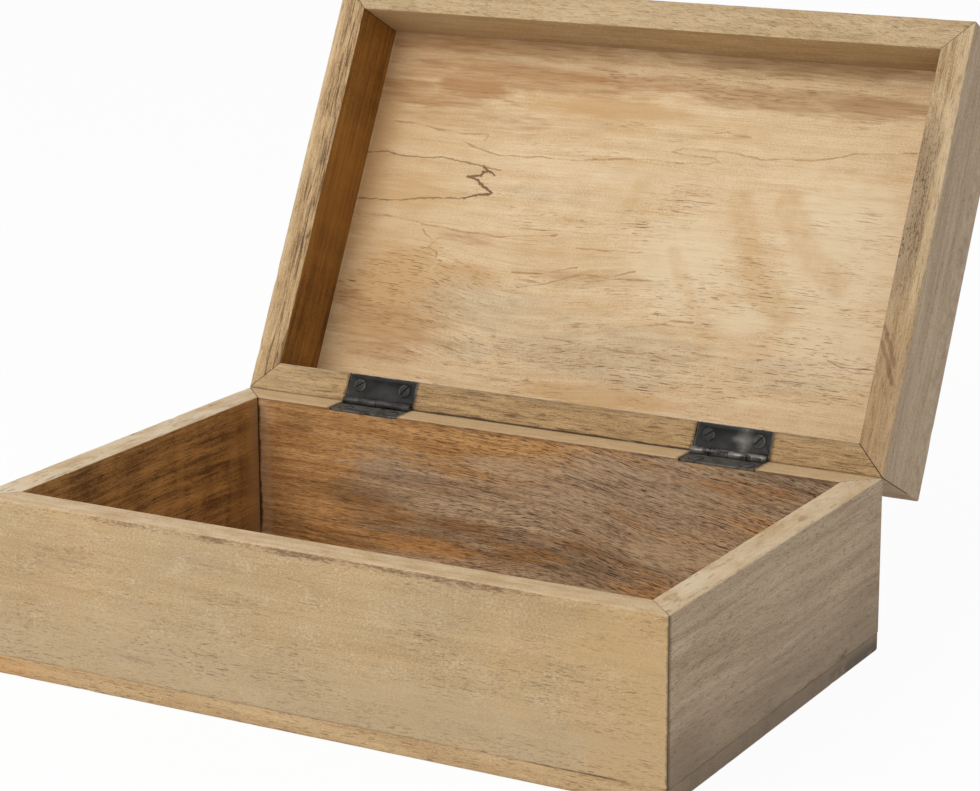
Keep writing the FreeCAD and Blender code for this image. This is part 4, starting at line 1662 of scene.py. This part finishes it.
def repeat_tree():
    """Geometry nodes that repeat a shape in a row on each hinge, and the identifiers of their inputs."""
    tree = bpy.data.node_groups.new("Repeat on hinges", "GeometryNodeTree")
    names = {}
    for name, kind in REPEAT_INPUTS.items():
        names[name] = tree.interface.new_socket(name=name, in_out="INPUT", socket_type=kind).identifier
    tree.interface.new_socket(name="Result", in_out="OUTPUT", socket_type="NodeSocketGeometry")
    sheet = Wire(tree)
    given = sheet.add("NodeGroupInput")
    spots = sheet.add("GeometryNodeMeshGrid", None, {
        "Size X": given.beside("Hinge spacing"),
        "Size Y": given.beside("Row spacing"),
        "Vertices X": 2,
        "Vertices Y": given.beside("Row count"),
    })
    grid = sheet.add("GeometryNodeInputPosition")
    x, y, _ = parts_of(grid)
    flat = sheet.add("ShaderNodeCombineXYZ", None, {"X": x + y})
    row = sheet.add("ShaderNodeVectorMath", {"operation": "ADD"}, {0: flat, 1: given.beside("Row place")})
    spots = sheet.add("GeometryNodeSetPosition", None, {"Geometry": spots, "Position": row})
    spread_low = given.beside("Turn") - given.beside("Turn spread")
    spread_high = given.beside("Turn") + given.beside("Turn spread")
    chance = sheet.add("FunctionNodeRandomValue", {"data_type": "FLOAT"}, {
        2: spread_low,
        3: spread_high,
        "Seed": given.beside("Seed"),
    }, 1)
    turn = sheet.add("ShaderNodeCombineXYZ", None, {"Z": chance})
    copies = sheet.add("GeometryNodeInstanceOnPoints", None, {
        "Points": spots,
        "Instance": given.beside("Shape"),
        "Rotation": turn,
    })
    placed = sheet.add("GeometryNodeTransform", None, {
        "Geometry": copies,
        "Translation": given.beside("Place"),
        "Rotation": given.beside("Tilt"),
    })
    real = sheet.add("GeometryNodeRealizeInstances", None, {"Geometry": placed})
    done = sheet.add("GeometryNodeSetMaterial", None, {"Geometry": real, "Material": given.beside("Finish")})
    result = tree.nodes.new("NodeGroupOutput")
    tree.links.new(done.socket, result.inputs["Result"])
    return tree, names


def repeat(piece, name, place, finish, values):
    """Repeat an object's shape on both hinges and leave the result as its plain mesh."""
    tree, names = repeat_tree()
    sizes = bpy.context.scene.keepsake_hinges
    modifier = piece.modifiers.new("Repeat", "NODES")
    modifier.node_group = tree
    settings = {
        "Hinge spacing": sizes.spacing,
        "Row count": 1,
        "Row spacing": 0.0,
        "Row place": (0.0, 0.0, 0.0),
        "Turn": 0.0,
        "Turn spread": 0.0,
        "Seed": 1,
        "Place": tuple(place.translation),
        "Tilt": tuple(place.to_euler()),
        "Finish": finish,
    }
    settings.update(values)
    for key, value in settings.items():
        modifier[names[key]] = value
    piece.name = name
    settle(piece)
    bpy.data.node_groups.remove(tree)
    return piece


class KEEPSAKE_OT_hinges(bpy.types.Operator):
    """Build the leaves and pins of both hinges"""

    bl_idname = "keepsake.hinges"
    bl_label = "Hinges"

    def execute(self, context):
        sizes = context.scene.keepsake_hinges
        finish = iron("hinge iron")
        for body, place in hinge_places.items():
            piece = repeat(one_leaf(sizes), f"{body}_hinge_leaves", place, finish, {})
            nodes = [f"{side}_hinge_{body}_leaf" for side in ("left", "right")]
            hand_over(piece, finish, body, nodes)
        pins = repeat(one_pin(sizes), "hinge_pins", on_box, finish, {})
        hand_over(pins, finish, "box", ["left_hinge_pin", "right_hinge_pin"])
        return {"FINISHED"}


class KEEPSAKE_OT_screws(bpy.types.Operator):
    """Build the slotted screws of both hinges"""

    bl_idname = "keepsake.screws"
    bl_label = "Screws"

    def execute(self, context):
        sizes = context.scene.keepsake_hinges
        finish = iron("screw iron", SCREW_LIFT)
        for seed, (body, place) in enumerate(hinge_places.items()):
            values = {
                "Row count": 2,
                "Row spacing": sizes.screw_spacing,
                "Row place": (0.0, -sizes.screw_row, -sizes.bore),
                "Turn": math.radians(SLOT_TURN),
                "Turn spread": math.radians(SLOT_SPREAD),
                "Seed": seed + SLOT_SEED,
            }
            piece = repeat(one_screw(sizes), f"{body}_hinge_screws", place, finish, values)
            nodes = [f"{side}_hinge_{body}_screws" for side in ("left", "right")]
            hand_over(piece, finish, body, nodes)
        return {"FINISHED"}


# Studio: the floor, and the large lamp's size, colour, place and aim, in metres
WHITE = (1.0, 1.0, 1.0, 1.0)
FLOOR_SIZE = 6.0
FLOOR_ROUGHNESS = 0.9
FLOOR_SPECULAR = 0.1
FLOOR_GLOW = 0.95
KEY_SIZE = 1.2
KEY_COLOUR = (1.0, 0.95, 0.87)
KEY_PLACE = (-0.55, -1.15, 1.25)
KEY_AIM = (0.0, 0.02, 0.08)


def seen_straight(sheet):
    """1 for rays from the camera, a reflection or a glass, and 0 for the light that falls on surfaces."""
    path = sheet.add("ShaderNodeLightPath")
    return path.above(path.beside("Is Glossy Ray")).above(path.beside("Is Transmission Ray"))


class KEEPSAKE_OT_stage(bpy.types.Operator):
    """Set up the floor, the light and the camera"""

    bl_idname = "keepsake.stage"
    bl_label = "Stage"

    def execute(self, context):
        scene = context.scene
        scene.view_settings.view_transform = "Standard"
        self.floor(scene)
        self.light(scene)
        self.camera(scene)
        return {"FINISHED"}

    def floor(self, scene):
        mesh = bmesh.new()
        bmesh.ops.create_grid(mesh, x_segments=1, y_segments=1, size=FLOOR_SIZE)
        plane = as_object("studio_floor", mesh)
        material, sheet, finish = new_material("studio floor")
        finish.inputs["Base Color"].default_value = opaque(scene.keepsake_colours.floor)
        finish.inputs["Roughness"].default_value = FLOOR_ROUGHNESS
        finish.inputs["Specular IOR Level"].default_value = FLOOR_SPECULAR
        share = seen_straight(sheet) * FLOOR_GLOW
        white = sheet.add("ShaderNodeEmission", None, {"Color": WHITE, "Strength": 1.0})
        surface = Wire(sheet.tree, finish.outputs[0])
        both = sheet.add("ShaderNodeMixShader", None, {0: share, 1: surface, 2: white})
        link(sheet, both, sheet.tree.nodes["Material Output"], "Surface")
        plane.data.materials.append(material)

    def light(self, scene):
        world = bpy.data.worlds.new("studio")
        world.use_nodes = True
        scene.world = world
        sheet = Wire(world.node_tree)
        fill = scene.keepsake_light.fill
        strength = fill + seen_straight(sheet) * (1.0 - fill)
        backdrop = world.node_tree.nodes["Background"]
        backdrop.inputs["Color"].default_value = WHITE
        link(sheet, strength, backdrop, "Strength")
        lamp = bpy.data.lights.new("key", "AREA")
        lamp.energy = scene.keepsake_light.key
        lamp.shape = "DISK"
        lamp.size = KEY_SIZE
        lamp.color = KEY_COLOUR
        key = bpy.data.objects.new("key", lamp)
        key.location = KEY_PLACE
        aim = Vector(KEY_AIM) - key.location
        key.rotation_euler = aim.to_track_quat("-Z", "Y").to_euler()
        scene.collection.objects.link(key)

    def camera(self, scene):
        data = bpy.data.cameras.new("photo camera")
        data.sensor_fit = "HORIZONTAL"
        data.sensor_width = SENSOR_WIDTH
        data.lens = FOCAL_PIXELS * SENSOR_WIDTH / PHOTO_WIDTH
        view = bpy.data.objects.new("photo camera", data)
        view.matrix_world = (
            Matrix.Translation(CAMERA_PLACE)
            @ Matrix.Rotation(math.radians(CAMERA_YAW), 4, "Z")
            @ Matrix.Rotation(math.radians(90.0 - CAMERA_PITCH), 4, "X")
            @ Matrix.Rotation(math.radians(-CAMERA_ROLL), 4, "Z")
        )
        scene.collection.objects.link(view)
        scene.camera = view


class KEEPSAKE_PT_panel(bpy.types.Panel):
    """Sidebar list of the box's pieces"""

    bl_idname = "KEEPSAKE_PT_panel"
    bl_label = "Keepsake Box"
    bl_space_type = "VIEW_3D"
    bl_region_type = "UI"
    bl_category = "Keepsake Box"

    def draw(self, context):
        for operator in operators:
            self.layout.operator(operator.bl_idname)
        for group in (context.scene.keepsake_boards, context.scene.keepsake_hinges,
                      context.scene.keepsake_colours, context.scene.keepsake_light):
            section = self.layout.box()
            for name in group.bl_rna.properties.keys():
                if name not in {"rna_type", "name"}:
                    section.prop(group, name)


operators = (
    KEEPSAKE_OT_walls,
    KEEPSAKE_OT_base,
    KEEPSAKE_OT_rails,
    KEEPSAKE_OT_panel,
    KEEPSAKE_OT_hinges,
    KEEPSAKE_OT_screws,
    KEEPSAKE_OT_stage,
)
groups = {
    "keepsake_boards": KeepsakeBoardSizes,
    "keepsake_hinges": KeepsakeHingeSizes,
    "keepsake_colours": KeepsakeColours,
    "keepsake_light": KeepsakeLight,
}


def register():
    for name, group in groups.items():
        bpy.utils.register_class(group)
        setattr(bpy.types.Scene, name, bpy.props.PointerProperty(type=group))
    for operator in operators:
        bpy.utils.register_class(operator)
    bpy.utils.register_class(KEEPSAKE_PT_panel)


def unregister():
    bpy.utils.unregister_class(KEEPSAKE_PT_panel)
    for operator in reversed(operators):
        bpy.utils.unregister_class(operator)
    for name, group in groups.items():
        delattr(bpy.types.Scene, name)
        bpy.utils.unregister_class(group)


def main():
    register()
    bpy.ops.keepsake.walls()
    bpy.ops.keepsake.base()
    bpy.ops.keepsake.rails()
    bpy.ops.keepsake.panel()
    bpy.ops.keepsake.hinges()
    bpy.ops.keepsake.screws()
    bpy.ops.keepsake.stage()


if __name__ == "__main__":
    main()
